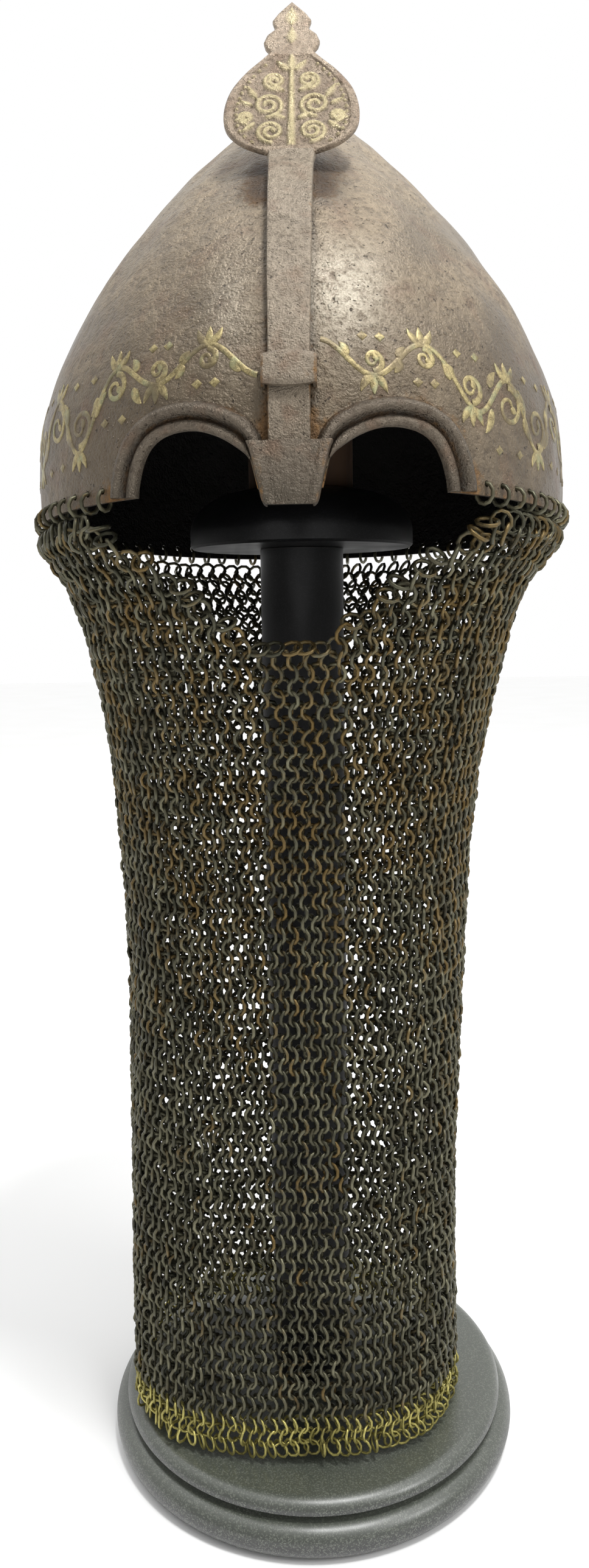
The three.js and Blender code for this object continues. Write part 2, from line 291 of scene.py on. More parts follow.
def channel(name, rings):
    """A closed mesh through a stack of channel sections: each is an outside line, then its inside line back."""
    rings = np.asarray(rings, float)
    rows, columns = rings.shape[:2]
    out = np.arange(columns // 2 - 1)
    back = columns - 1 - out
    low = np.stack([out + 1, out, back, back - 1], -1)
    high = low[:, ::-1] + (rows - 1) * columns
    quads = np.concatenate([grid_quads(rows, columns, wrap_columns=True), low, high])
    return build_mesh(name, rings.reshape(-1, 3), quads)


def turned_mesh(name, profile, steps=144):
    """A turned solid about the stand's axis, from radius and height points that run up the outside."""
    angle = np.linspace(0, 2 * math.pi, steps, endpoint=False)
    profile = np.asarray(profile, float)
    x = profile[:, 0, None] * np.sin(angle)
    y = -profile[:, 0, None] * np.cos(angle)
    z = np.broadcast_to(profile[:, 1, None], x.shape)
    return swept(name, np.stack([x, y, z], -1))


def cut_away(mesh, cutter):
    """The mesh with the cutter's solid taken out of it."""
    body = bpy.data.objects.new("cut_body", mesh)
    tool = bpy.data.objects.new("cut_tool", cutter)
    for thing in (body, tool):
        bpy.context.scene.collection.objects.link(thing)
    step = body.modifiers.new("cut", "BOOLEAN")
    step.operation = "DIFFERENCE"
    step.solver = "EXACT"
    step.object = tool
    result = bpy.data.meshes.new_from_object(body.evaluated_get(bpy.context.evaluated_depsgraph_get()))
    for thing in (body, tool):
        bpy.data.objects.remove(thing)
    return result


# Shader making

def feed(tree, socket, value):
    """Links an output to a socket, or sets the socket to a plain value."""
    if isinstance(value, bpy.types.NodeSocket):
        tree.links.new(value, socket)
    else:
        socket.default_value = value


def add_node(tree, kind, inputs=None, **settings):
    """A node with its settings, and its inputs set to a value or linked from another node's output."""
    made = tree.nodes.new("ShaderNode" + kind)
    for key, value in settings.items():
        setattr(made, key, value)
    for key, value in (inputs or {}).items():
        feed(tree, made.inputs[key], value)
    return made


def colour(red, green, blue):
    """A linear colour from screen values of 0 to 255."""
    parts = [value / 255 for value in (red, green, blue)]
    return tuple(v / 12.92 if v <= 0.04045 else ((v + 0.055) / 1.055) ** 2.4 for v in parts) + (1.0,)


def new_group(name, inputs, outputs):
    """An empty shader group with named sockets."""
    group = bpy.data.node_groups.new(name, "ShaderNodeTree")
    for label, kind, value in inputs:
        socket = group.interface.new_socket(label, in_out="INPUT", socket_type="NodeSocket" + kind)
        socket.default_value = value
    for label, kind in outputs:
        group.interface.new_socket(label, in_out="OUTPUT", socket_type="NodeSocket" + kind)
    return group, group.nodes.new("NodeGroupInput").outputs, group.nodes.new("NodeGroupOutput").inputs


def mixed(tree, share, first, second):
    """A colour between two colours. The colour sockets of a mix node are numbers 6 and 7."""
    return add_node(tree, "Mix", {0: share, 6: first, 7: second}, data_type="RGBA").outputs[2]


def maths(tree, operation, first, second=0.0, clamp=False):
    return add_node(tree, "Math", {0: first, 1: second}, operation=operation, use_clamp=clamp).outputs[0]


def times(tree, first, second):
    return maths(tree, "MULTIPLY", first, second)


def ranged(tree, value, low, high, out_low=0.0, out_high=1.0):
    """Eases from one output to the other as the value goes from low to high."""
    inputs = {"Value": value, "From Min": low, "From Max": high, "To Min": out_low, "To Max": out_high}
    return add_node(tree, "MapRange", inputs, interpolation_type="SMOOTHSTEP").outputs[0]


def object_place(tree):
    return add_node(tree, "TexCoord").outputs["Object"]


def scaled_place(tree, scale):
    return add_node(tree, "VectorMath", {0: object_place(tree), 3: scale}, operation="SCALE").outputs[0]


def noise(tree, place, scale, detail, **more):
    inputs = {"Vector": place, "Scale": scale, "Detail": detail, **more}
    return add_node(tree, "TexNoise", inputs).outputs["Fac"]


def attribute(tree, name):
    return add_node(tree, "Attribute", attribute_name=name).outputs["Fac"]


DARK_RUST = colour(80, 56, 30)
LIGHT_RUST = colour(136, 100, 54)
OCHRE_RUST = colour(112, 96, 46)
WARM_IRON = colour(104, 76, 56)
HOLLOW_IRON = colour(62, 51, 40)
PIT_IRON = colour(40, 32, 26)
SPECK_IRON = colour(60, 48, 38)
# Pale colour of the painted glints
PAINTED_GLINT_IRON = colour(208, 200, 182)
OILED_WIRE = colour(58, 50, 34)
DIRT_AND_SHADE = colour(19, 16, 14)
PLATE_GILT = colour(206, 194, 146)
DEEP_GILT = colour(112, 99, 66)
BRIGHT_GILT = colour(184, 169, 122)
GREEN_GILT = colour(128, 140, 112)
WORN_GILT = colour(104, 92, 72)
GILT_EDGE = colour(70, 58, 40)
DARK_GRAIN = colour(44, 29, 18)
LIGHT_GRAIN = colour(88, 62, 40)


def make_pitting():
    """Small corrosion pits and raised specks, with the unevenness of forged iron."""
    inputs = [("Scale", "Float", 1.0), ("Amount", "Float", 0.5)]
    outputs = [(label, "Float") for label in ("Pits", "Specks", "Height", "Drift", "Warmth")]
    group, given, result = new_group("forged_pitting", inputs, outputs)
    place = scaled_place(group, given["Scale"])
    broad = noise(group, place, 38.0, 4.0)
    warmth = noise(group, place, 75.0, 6.0)
    medium = noise(group, place, 290.0, 6.0, Roughness=0.6)
    fine = noise(group, place, 1100.0, 3.0)
    flecks = noise(group, place, 520.0, 1.5)
    start = ranged(group, given["Amount"], 0.0, 1.0, 0.76, 0.58)
    pits = ranged(group, maths(group, "SUBTRACT", flecks, start), 0.0, 0.05)
    bumps = add_node(group, "TexVoronoi", {"Vector": place, "Scale": 520.0, "Randomness": 1.0})
    pick = add_node(group, "SeparateColor", {0: bumps.outputs["Color"]})
    reach = ranged(group, pick.outputs[0], 0.55, 1.0, 0.02, 0.42)
    specks = ranged(group, maths(group, "SUBTRACT", reach, bumps.outputs["Distance"]), 0.0, 0.12)
    swell = maths(group, "SUBTRACT", medium, 0.5)
    swell = times(group, swell, ranged(group, broad, 0.36, 0.64, 0.5, 1.2))
    height = maths(group, "ADD", swell, 0.34)
    height = maths(group, "ADD", height, times(group, fine, 0.42))
    height = maths(group, "SUBTRACT", height, times(group, pits, 0.3))
    height = maths(group, "ADD", height, times(group, specks, 0.26))
    results = {"Pits": pits, "Specks": specks, "Height": height, "Drift": broad, "Warmth": warmth}
    for label, value in results.items():
        group.links.new(value, result[label])
    return group


def make_rust():
    """Rust that breaks up over the surface where the amount is high."""
    inputs = [("Amount", "Float", 0.3), ("Scale", "Float", 1.0)]
    outputs = [("Mask", "Float"), ("Colour", "Color")]
    group, given, result = new_group("rust_bloom", inputs, outputs)
    place = scaled_place(group, given["Scale"])
    patches = noise(group, place, 120.0, 6.0, Roughness=0.65)
    grains = noise(group, place, 620.0, 4.0)
    broken = maths(group, "ADD", patches, times(group, grains, 0.35))
    level = maths(group, "SUBTRACT", maths(group, "ADD", broken, given["Amount"]), 1.0)
    mask = ranged(group, level, 0.0, 0.38)
    shade = mixed(group, grains, DARK_RUST, LIGHT_RUST)
    group.links.new(mask, result["Mask"])
    group.links.new(shade, result["Colour"])
    return group


PITTING = make_pitting()
RUST = make_rust()


def new_material(name, metallic, roughness):
    """A new material, its node tree, and the sockets of its shader."""
    material = bpy.data.materials.new(name)
    material.use_nodes = True
    shader = material.node_tree.nodes["Principled BSDF"]
    shader.inputs["Metallic"].default_value = metallic
    shader.inputs["Roughness"].default_value = roughness
    return material, material.node_tree, shader.inputs


def place_group(tree, group, **values):
    made = tree.nodes.new("ShaderNodeGroup")
    made.node_tree = group
    for label, value in values.items():
        feed(tree, made.inputs[label], value)
    return made.outputs


def add_bump(tree, sockets, height, strength, distance):
    inputs = {"Height": height, "Strength": strength, "Distance": distance}
    tree.links.new(add_node(tree, "Bump", inputs).outputs[0], sockets["Normal"])


def iron_material(name, low, high, heights, metallic, pit_scale, rough, bump=1.0, gilding=0.0):
    """Old patinated iron: two tones from low to high, the higher one lighter as painted light from above,
    drifting, with pits, rust, painted glints where polished, and dark places of painted shade and shadow with
    some dirt.
    """
    material, tree, sockets = new_material(name, metallic, 0.5)
    pitting = place_group(tree, PITTING, Scale=pit_scale, Amount=0.42)
    rust = place_group(tree, RUST, Amount=attribute(tree, "rust"))
    height = add_node(tree, "SeparateXYZ", {0: object_place(tree)}).outputs["Z"]
    # Painted light from above: the colour runs lighter with height, from the low tone to the high one.
    rise = ranged(tree, height, heights[0] * MM, heights[1] * MM)
    drift = maths(tree, "SUBTRACT", pitting["Drift"], 0.5)
    share = maths(tree, "ADD", rise, times(tree, drift, 1.7), clamp=True)
    base = mixed(tree, share, low, high)
    warm = ranged(tree, pitting["Warmth"], 0.5, 0.72, 0.0, 0.42)
    base = mixed(tree, warm, base, WARM_IRON)
    hollows = ranged(tree, pitting["Height"], 0.3, 0.66, 0.55, 0.0)
    base = mixed(tree, hollows, base, HOLLOW_IRON)
    base = mixed(tree, times(tree, pitting["Pits"], 0.55), base, PIT_IRON)
    base = mixed(tree, times(tree, pitting["Specks"], 0.3), base, SPECK_IRON)
    # Painted highlight: where this value is high, the raised grain is painted pale as glints, and the surface
    # there is made smoother.
    polish_and_highlight = attribute(tree, "polish_and_highlight")
    painted_glints = times(tree, polish_and_highlight, ranged(tree, pitting["Height"], 0.34, 0.66, 0.0, 0.6))
    base = mixed(tree, painted_glints, base, PAINTED_GLINT_IRON)
    base = mixed(tree, rust["Mask"], base, rust["Colour"])
    if gilding:
        base = mixed(tree, times(tree, attribute(tree, "gilt"), gilding), base, PLATE_GILT)
    # Painted shade and shadow, with some dirt: the "dark" value mixes the colour towards near black.
    base = mixed(tree, attribute(tree, "dark"), base, DIRT_AND_SHADE)
    tree.links.new(base, sockets["Base Color"])
    worn = maths(tree, "ADD", pitting["Drift"], times(tree, rust["Mask"], 0.4))
    roughness = ranged(tree, worn, 0.3, 0.8, *rough)
    roughness = maths(tree, "SUBTRACT", roughness, times(tree, polish_and_highlight, 0.12))
    tree.links.new(roughness, sockets["Roughness"])
    add_bump(tree, sockets, pitting["Height"], bump, 0.0014)
    return material


def gilt_material():
    """Dull worn gilding, thin enough for the iron to show through, and dark along its edges."""
    material, tree, sockets = new_material("gilt_inlay", 0.6, 0.4)
    pitting = place_group(tree, PITTING, Scale=2.2, Amount=0.3)
    worn = ranged(tree, pitting["Drift"], 0.42, 0.62, 0.0, 0.8)
    base = mixed(tree, ranged(tree, pitting["Height"], 0.35, 0.75), DEEP_GILT, BRIGHT_GILT)
    base = mixed(tree, ranged(tree, pitting["Warmth"], 0.36, 0.5, 0.45, 0.0), base, GREEN_GILT)
    base = mixed(tree, worn, base, WORN_GILT)
    base = mixed(tree, attribute(tree, "edge"), base, GILT_EDGE)
    tree.links.new(base, sockets["Base Color"])
    tree.links.new(ranged(tree, pitting["Height"], 0.3, 0.8, 0.28, 0.55), sockets["Roughness"])
    add_bump(tree, sockets, pitting["Height"], 0.4, 0.0006)
    return material


def wire_material(name, dark, light, rust_share, metallic):
    """Mail wire: each ring has its own tone and its own amount of rust, in patches along the wire."""
    material, tree, sockets = new_material(name, metallic, 0.5)
    pitting = place_group(tree, PITTING, Scale=3.0, Amount=0.3)
    base = mixed(tree, attribute(tree, "tone"), dark, light)
    base = mixed(tree, ranged(tree, pitting["Drift"], 0.5, 0.7, 0.0, 0.5), base, OILED_WIRE)
    amount = times(tree, attribute(tree, "rust"), rust_share)
    rust = place_group(tree, RUST, Amount=amount, Scale=2.6)
    ochre = mixed(tree, 0.5, rust["Colour"], OCHRE_RUST)
    base = mixed(tree, times(tree, rust["Mask"], 0.65), base, ochre)
    tree.links.new(base, sockets["Base Color"])
    tree.links.new(ranged(tree, pitting["Drift"], 0.3, 0.7, 0.3, 0.52), sockets["Roughness"])
    add_bump(tree, sockets, pitting["Height"], 0.4, 0.0004)
    return material


PAINT_FLECK_SCALE = 2300.0
WOOD_STRETCH = (260.0, 260.0, 22.0)


def paint_material(name, dark, dust_and_sheen, fleck, rough, gloss):
    """Satin black paint with a very fine fleck, paler on faces that look up, as dust and as a painted sheen
    from light above.
    """
    material, tree, sockets = new_material(name, 0.0, 0.4)
    sockets["Specular IOR Level"].default_value = gloss
    place = object_place(tree)
    cells = add_node(tree, "TexVoronoi", {"Vector": place, "Scale": PAINT_FLECK_SCALE})
    pick = add_node(tree, "SeparateColor", {0: cells.outputs["Color"]}).outputs[0]
    flecks = ranged(tree, pick, 0.55, 1.0, 0.0, 0.7)
    drift = noise(tree, place, 30.0, 5.0)
    normal = add_node(tree, "NewGeometry").outputs["Normal"]
    facing_up = add_node(tree, "SeparateXYZ", {0: normal}).outputs["Z"]
    # Painted sheen with dust: faces that look up are paler.
    base = mixed(tree, ranged(tree, facing_up, -0.15, 1.0), dark, dust_and_sheen)
    tree.links.new(mixed(tree, flecks, base, fleck), sockets["Base Color"])
    tree.links.new(ranged(tree, drift, 0.3, 0.7, rough - 0.05, rough + 0.1), sockets["Roughness"])
    add_bump(tree, sockets, flecks, 0.06, 0.0002)
    return material


def block_wood_material():
    """Raw brown wood with upright grain."""
    material, tree, sockets = new_material("block_wood", 0.0, 0.65)
    place = add_node(tree, "VectorMath", {0: object_place(tree), 1: WOOD_STRETCH}, operation="MULTIPLY")
    grain = noise(tree, place.outputs[0], 1.0, 6.0, Distortion=0.4)
    tree.links.new(mixed(tree, grain, DARK_GRAIN, LIGHT_GRAIN), sockets["Base Color"])
    tree.links.new(ranged(tree, grain, 0.3, 0.7, 0.55, 0.8), sockets["Roughness"])
    add_bump(tree, sockets, grain, 0.3, 0.0006)
    return material


SKULL_IRON = iron_material(
    "skull_iron", low=colour(94, 82, 65), high=colour(146, 131, 109), heights=(420, 560),
    metallic=0.45, pit_scale=1.0, rough=(0.3, 0.5),
)
BROW_IRON = iron_material(
    "brow_iron", low=colour(76, 69, 58), high=colour(106, 96, 83), heights=(405, 440),
    metallic=0.6, pit_scale=1.4, rough=(0.28, 0.48),
)
BAR_IRON = iron_material(
    "bar_iron", low=colour(108, 97, 82), high=colour(149, 137, 120), heights=(415, 480),
    metallic=0.5, pit_scale=1.5, rough=(0.32, 0.52),
)
PLATE_IRON = iron_material(
    "plate_iron", low=colour(142, 127, 109), high=colour(164, 148, 129), heights=(540, 600),
    metallic=0.6, pit_scale=1.8, rough=(0.24, 0.42), bump=0.75, gilding=0.5,
)
GILT = gilt_material()
MAIL_IRON = wire_material(
    "mail_iron", dark=colour(46, 46, 36), light=colour(114, 111, 90), rust_share=1.0, metallic=0.72
)
MAIL_BRASS = wire_material(
    "mail_brass", dark=colour(112, 106, 58), light=colour(206, 196, 120), rust_share=0.2, metallic=0.8
)
STAND_BLACK = paint_material(
    "stand_black", dark=colour(11, 11, 12), dust_and_sheen=colour(15, 15, 16), fleck=colour(27, 27, 29),
    rough=0.34, gloss=0.36,
)
FOOT_BLACK = paint_material(
    "foot_black", dark=colour(14, 15, 14), dust_and_sheen=colour(68, 72, 64), fleck=colour(104, 108, 98),
    rough=0.3, gloss=1.0,
)
BLOCK_WOOD = block_wood_material()


# Skull

SKULL_AROUND = 264
SKULL_UP = 96
SKULL_INSIDE_UP = 36
EYE_CUT_LOW = -12
EYE_CUT_DEPTHS = (-150, -40)
HOLE_SIDES = 10
HOLE_CUT = 7


def eye_curve(count):
    """The right eye's edge, from the nose round to the temple."""
    return spline(EYE_OUTLINE, count)


def prism_mesh(name, pairs, flip=False):
    """Closed prisms in one mesh, each between a pair of rings."""
    points, quads, triangles = [], [], []
    way = -1 if flip else 1
    for rings in pairs:
        first = sum(map(len, points))
        ring_quads, ring_triangles = sweep_faces(2, len(rings[0]))
        points.append(np.concatenate(rings + [[ring.mean(0)] for ring in rings]))
        quads.append(ring_quads[:, ::way] + first)
        triangles.append(ring_triangles[:, ::way] + first)
    points = to_world(np.concatenate(points))
    return build_mesh(name, points, np.concatenate(quads), np.concatenate(triangles))


def eye_cutter():
    """Two prisms through the front of the skull, one for each eye."""
    curve = eye_curve(EYE_STEPS)
    low_ends = [[EYE_NOSE_FOOT_X, EYE_CUT_LOW]], [[curve[-1, 0] + 0.3, EYE_CUT_LOW]]
    x, z = np.concatenate([low_ends[0], curve, low_ends[1]]).T
    right = [np.stack([x, np.full(len(x), y), z], -1) for y in EYE_CUT_DEPTHS]
    left = [ring * [-1, 1, 1] for ring in right[::-1]]
    return prism_mesh("eye_cutter", [right, left])


def rim_hole_angles():
    """Angles of the holes along the rim, none of them under the face."""
    angles = (np.arange(RIM_HOLE_COUNT) + 0.5) / RIM_HOLE_COUNT * 2 * math.pi
    return angles[np.minimum(angles, 2 * math.pi - angles) > FACE_HALF_ANGLE]


def rim_hole_cutter():
    """A short prism through the rim for each hole."""
    turn = np.linspace(0, 2 * math.pi, HOLE_SIDES, endpoint=False)[:, None]
    up = np.array([0, 0, 1])
    pairs = []
    for angle in rim_hole_angles():
        middle = on_skull(angle, RIM_HOLE_HEIGHT, dented=False)
        outward = np.array([math.sin(angle), -math.cos(angle), 0])
        across = np.array([math.cos(angle), math.sin(angle), 0])
        ring = middle + RIM_HOLE_RADIUS * (np.cos(turn) * across + np.sin(turn) * up)
        pairs.append([ring + reach * outward for reach in (HOLE_CUT, -HOLE_CUT)])
    return prism_mesh("hole_cutter", pairs, flip=True)


def skull_mesh():
    """Hollow skull: the dented outside, a plain inside, and the rim between them."""
    angle = np.linspace(0, 2 * math.pi, SKULL_AROUND, endpoint=False)
    last = PROFILE_POINTS - 1
    outer_z = SKULL_LINE[np.linspace(0, last, SKULL_UP + 1).astype(int)[:-1], 1]
    inner_z = SKULL_LINE[np.linspace(last, 0, SKULL_INSIDE_UP + 1).astype(int)[1:], 1]
    outside = on_skull(angle[None], outer_z[:, None])
    inside = on_skull(angle[None], inner_z[:, None], -WALL, dented=False)
    outside[0, :, 2] = 0
    inside[-1, :, 2] = 0
    top = SKULL_PROFILE[-1][1]
    inside_top = inside[0, :, 2].max() + 1.5
    rings = np.concatenate([inside, outside])
    points = np.concatenate([rings.reshape(-1, 3), [[0, 0, inside_top], [0, 0, top]]])
    count = len(rings) * SKULL_AROUND
    quads = grid_quads(len(rings), SKULL_AROUND, wrap_columns=True)
    low = np.arange(SKULL_AROUND)
    triangles = np.concatenate([fan(low, count, True), fan(low + count - SKULL_AROUND, count + 1)])
    return build_mesh("skull_iron", to_world(points), quads, triangles)


def under_plate(x, z):
    """How much each point of the skull lies under the plate, to either side of the bar."""
    return np.exp(-(((np.abs(x) - 11) / 9) ** 2)) * smooth_step(97, 109, z) * smooth_step(132, 120, z)


def rust_on_skull(points):
    """How rusty each point of the skull is: by the bar, round the brow, along the rim and under the plate."""
    x, y, z = np.moveaxis(points, -1, 0)
    front = y < 0
    beside_bar = np.exp(-((np.abs(x) - bar_half(z)) / 2.2) ** 2) * smooth_step(90, 10, z) * front
    brow = np.concatenate([eye_curve(EYE_STEPS), eye_curve(EYE_STEPS) * [-1, 1]])
    from_brow = np.sqrt(((np.stack([x, z], -1)[:, None] - brow[None]) ** 2).sum(-1)).min(1)
    round_brow = np.exp(-(((from_brow - 8) / 5) ** 2)) * front
    rim = np.exp(-((z / 7) ** 2))
    stained = 0.6 * under_plate(x, z) * front
    return np.clip(0.1 + 0.6 * beside_bar + 0.3 * round_brow + 0.26 * rim + stained, 0, 1)


def shadow_and_stain_on_skull(points):
    """Painted shadow in a thin line along each side of the bar, and painted shadow with some stain under the
    plate.
    """
    x, y, z = np.moveaxis(points, -1, 0)
    along_bar = (z > 14) * smooth_step(BAR_TOP_Z, BAR_TOP_Z - 14, z)
    # Painted contact shadow along the bar's edges.
    beside_bar = 0.55 * np.exp(-((np.abs(x) - bar_half(z)) / 1.3) ** 2) * along_bar
    return np.maximum(beside_bar, 0.75 * under_plate(x, z)) * (y < 0)


def polish_and_highlight_on_skull(points):
    """Places beside the bar that are rubbed smoother and get a painted highlight."""
    x, y, z = np.moveaxis(points, -1, 0)
    right = np.exp(-(((x - 18) / 13) ** 2) - ((z - 66) / 17) ** 2)
    left = 0.35 * np.exp(-(((x + 20) / 8) ** 2) - ((z - 62) / 22) ** 2)
    return np.maximum(right, left) * (y < 0)


def add_skull():
    mesh = cut_away(cut_away(skull_mesh(), eye_cutter()), rim_hole_cutter())
    points = from_world(mesh_points(mesh))
    # Painted shade: the skull's inside, found by its depth, is painted near black.
    depth = np.hypot(points[:, 0], points[:, 1] / DEPTH_RATIO) - skull_radius(points[:, 2])
    inside = depth < -1.2
    point_values(mesh, "rust", rust_on_skull(points))
    point_values(mesh, "dark", np.maximum(inside, shadow_and_stain_on_skull(points)))
    point_values(mesh, "polish_and_highlight", polish_and_highlight_on_skull(points))
    place_piece("skull_forged", mesh, SKULL_IRON, "helmet", ["skull"])


# Brow guard

# Section of the eye border: distance out from the eye's edge, and height over the skull
BROW_SECTION = np.array([
    (-0.2, -1.9), (-0.6, 0.2), (-0.3, 1.3), (0.4, 1.9), (1.6, 2.0), (2.4, 1.5),
    (3.0, 0.6), (3.5, 0.3), (4.0, 0.7), (4.5, 1.8), (5.2, 2.9), (6.1, 3.4),
    (7.0, 3.2), (7.9, 2.2), (8.6, 0.9), (9.2, 0.0), (9.3, -0.8),
])
BROW_GROOVE = 3.5
BROW_FOOT = 9
BROW_STEPS = 90
# Nose piece: height over the rim, and half its width, which flares into the eye borders
NOSE_HEIGHTS = [-6, 0, 5, 9, 12, 14]
NOSE_HALVES = [9.0, 10.2, 11.4, 12.3, 13.1, 14]
NOSE_CORNER = 3.2
NOSE_CORNER_CUT = 1.1
NOSE_LIP = 0.9
NOSE_WALL = 1.2
NOSE_EDGE = 0.9
NOSE_SLOT_PLAY = 0.5
NOSE_UP = 28
NOSE_ACROSS = 27


def brow_rings(side):
    """Sections of one eye's border, from the nose round to the rim at the temple, narrower by the nose."""
    curve = eye_curve(BROW_STEPS)
    curve = np.concatenate([curve, [[curve[-1, 0] + 0.25, 0.02]]])
    along = np.gradient(curve, axis=0)
    along /= np.linalg.norm(along, axis=1)[:, None]
    out_way = np.stack([-along[:, 1], along[:, 0]], -1)
    open_out = smooth_step(0, 0.22, np.linspace(0, 1, len(curve)))
    band = np.minimum(BROW_SECTION[:, :1], BROW_GROOVE)
    ridge = np.maximum(BROW_SECTION[:, :1] - BROW_GROOVE, 0)
    rings = []
    for place, out, share in zip(curve, out_way, open_out):
        spot = place + (band * (0.3 + 0.7 * share) + ridge * (0.8 + 0.2 * share)) * out
        rings.append(front_of_skull(side * spot[:, 0], np.maximum(spot[:, 1], 0.02), BROW_SECTION[:, 1]))
    rings = np.array(rings)
    return rings if side < 0 else rings[:, ::-1]


def nose_rings():
    """Sections of the nose piece, a shallow channel over the end of the bar, from its foot to its top edge."""
    rings = []
    for z in np.linspace(NOSE_HEIGHTS[0], NOSE_HEIGHTS[-1], NOSE_UP):
        low = np.clip((NOSE_HEIGHTS[0] + NOSE_CORNER - z) / NOSE_CORNER, 0, 1)
        half = np.interp(z, NOSE_HEIGHTS, NOSE_HALVES) - NOSE_CORNER_CUT * (1 - math.sqrt(1 - low**2))
        back = front_of_skull(half, max(z, 0.02), 0.3)[1]
        slot = float(arc_point(0, z, BAR_THICKNESS + KEEPER_GAP)[1])
        face = slot - KEEPER_THICKNESS
        across = np.linspace(-half + NOSE_EDGE, half - NOSE_EDGE, NOSE_ACROSS)
        lip = NOSE_LIP * smooth_step(half - 4.2, half - 2.2, np.abs(across))
        front = face + across**2 / (2 * SKULL_PROFILE[0][0]) - lip
        outer = [(-half, back), (-half, front[0] + 1.3), (-half + 0.25, front[0] + 0.4)]
        outer += list(zip(across, front))
        outer += [(half - 0.25, front[-1] + 0.4), (half, front[-1] + 1.3), (half, back)]
        wall = max(half - NOSE_WALL, BAR_LOW_HALF + NOSE_SLOT_PLAY)
        inner = [(wall, back), (wall, slot + 0.8), (wall, slot + 0.4)]
        inner += [(x, slot) for x in np.linspace(wall - 0.4, 0.4 - wall, NOSE_ACROSS)]
        inner += [(-wall, slot + 0.4), (-wall, slot + 0.8), (-wall, back)]
        rings.append([(x, y, z) for x, y in outer + inner])
    return np.array(rings)


def add_brow():
    for side, name in ((-1, "brow_border_left"), (1, "brow_border_right")):
        rings = brow_rings(side)
        mesh = swept(name, to_world(rings))
        from_eye = BROW_SECTION[:, 0] if side < 0 else BROW_SECTION[::-1, 0]
        groove = np.exp(-((from_eye - BROW_GROOVE) / 0.8) ** 2)
        outer = np.exp(-((from_eye - BROW_FOOT) / 1.2) ** 2)
        values = np.tile(np.clip(0.12 + 0.5 * groove + 0.4 * outer, 0, 1), len(rings))
        point_values(mesh, "rust", np.concatenate([values, [0.3, 0.3]]))
        shadow = np.tile(0.85 * groove + 0.45 * outer, len(rings))
        point_values(mesh, "dark", np.concatenate([shadow, [0, 0]]))
        place_piece(name, mesh, BROW_IRON, "helmet", ["brow_guard"], sharp=60)
    rings = nose_rings()
    mesh = channel("nose_piece", to_world(rings))
    edge = np.abs(rings[..., 0]) > NOSE_HALVES[0] - 0.6
    point_values(mesh, "rust", (0.14 + 0.2 * edge).ravel())
    point_values(mesh, "dark", np.zeros(len(mesh.vertices)))
    place_piece("nose_piece", mesh, BROW_IRON, "helmet", ["brow_guard"], sharp=40)


# Staple

STAPLE_HALF = 9.0
STAPLE_LOW_Z = 31.8
STAPLE_HIGH_Z = 40.8
STAPLE_BOW = 1.1
STAPLE_SLOT_HALF = 7.8
STAPLE_ACROSS = 21
STAPLE_UP = 15


def add_staple():
    """A bowed strap over the bar, with a leg down to the skull on each side."""
    half = STAPLE_HALF
    slot = STAPLE_SLOT_HALF
    front = np.linspace(-half + 0.7, half - 0.7, STAPLE_ACROSS)
    under = np.linspace(slot, -slot, STAPLE_ACROSS)
    x = np.concatenate([[-half, -half], front, [half, half], [slot, slot], under, [-slot, -slot]])
    bow = STAPLE_BOW * (1 - (x / half) ** 2)
    strap = BAR_THICKNESS + KEEPER_GAP
    inner_outs = [-1, strap], np.full(STAPLE_ACROSS, strap), [strap, -1]
    rings = []
    for step in np.linspace(0, 1, STAPLE_UP):
        z = STAPLE_LOW_Z - bow + (STAPLE_HIGH_Z - STAPLE_LOW_Z + 2 * bow) * step
        roll = 0.8 * (2 * step - 1) ** 6
        face = strap + KEEPER_THICKNESS + 0.5 * (1 - (front / half) ** 2) - roll
        outs = np.concatenate([[-1, face[0] - 0.7], face, [face[-1] - 0.7, -1], *inner_outs])
        ring = arc_point(x, z, outs)
        legs = outs == -1
        ring[legs] = front_of_skull(x[legs], z[legs], 0.2)
        rings.append(ring)
    mesh = channel("staple", to_world(rings))
    side = np.abs(np.array(rings)[..., 0]) > slot + 0.4
    point_values(mesh, "rust", (0.22 + 0.3 * side).ravel())
    point_values(mesh, "dark", np.zeros(len(mesh.vertices)))
    place_piece("staple_forged", mesh, BAR_IRON, "helmet", ["nasal_staple"])


# Nasal bar and its plate

BAR_ROWS = 150
BAR_ACROSS = 15
BAR_EDGE_HALF = 6.4
PLATE_BODY_ROWS = 116
PLATE_CROWN_ROWS = 40
PLATE_COLUMNS = 99
PLATE_NECK = 48
PLATE_CROWN_LOW = 50
PLATE_TOP = 72.9
PLATE_TIP = 74
PLATE_BORDER = 3.2
TONGUE_LIFT = 0.9
CURL_HALF = 0.8
BEAD_HALF = 0.62
BEAD_PITCH = 2.6
# Scrolls of the plate's right half: distance across, height, size and way of turning
PLATE_CURLS = [(7.4, 9.6, 5.0, 1), (8.6, 22.0, 5.6, -1), (6.2, 33.6, 4.0, 1), (16.4, 16.4, 2.7, 1)]
# Leaves of the plate's right half: foot, lean, length and width
PLATE_SIDE_LEAVES = [
    ((2, 15.5), 1.15, 6.5, 1.4), ((2.5, 28.5), 1.0, 7.5, 1.5), ((12.5, 25), 0.5, 8, 1.5),
    ((13, 14), 2.3, 7, 1.4), ((14, 22), 1.1, 6, 1.3), ((1, 38.5), 0.75, 7, 1.6),
]
PLATE_MIDDLE_LEAVES = [((0, 38), 0.0, 9.5, 2.0), ((0, 51.5), 0.0, 8.5, 2.0), ((0, 60.5), 0.0, 9.5, 2.4)]


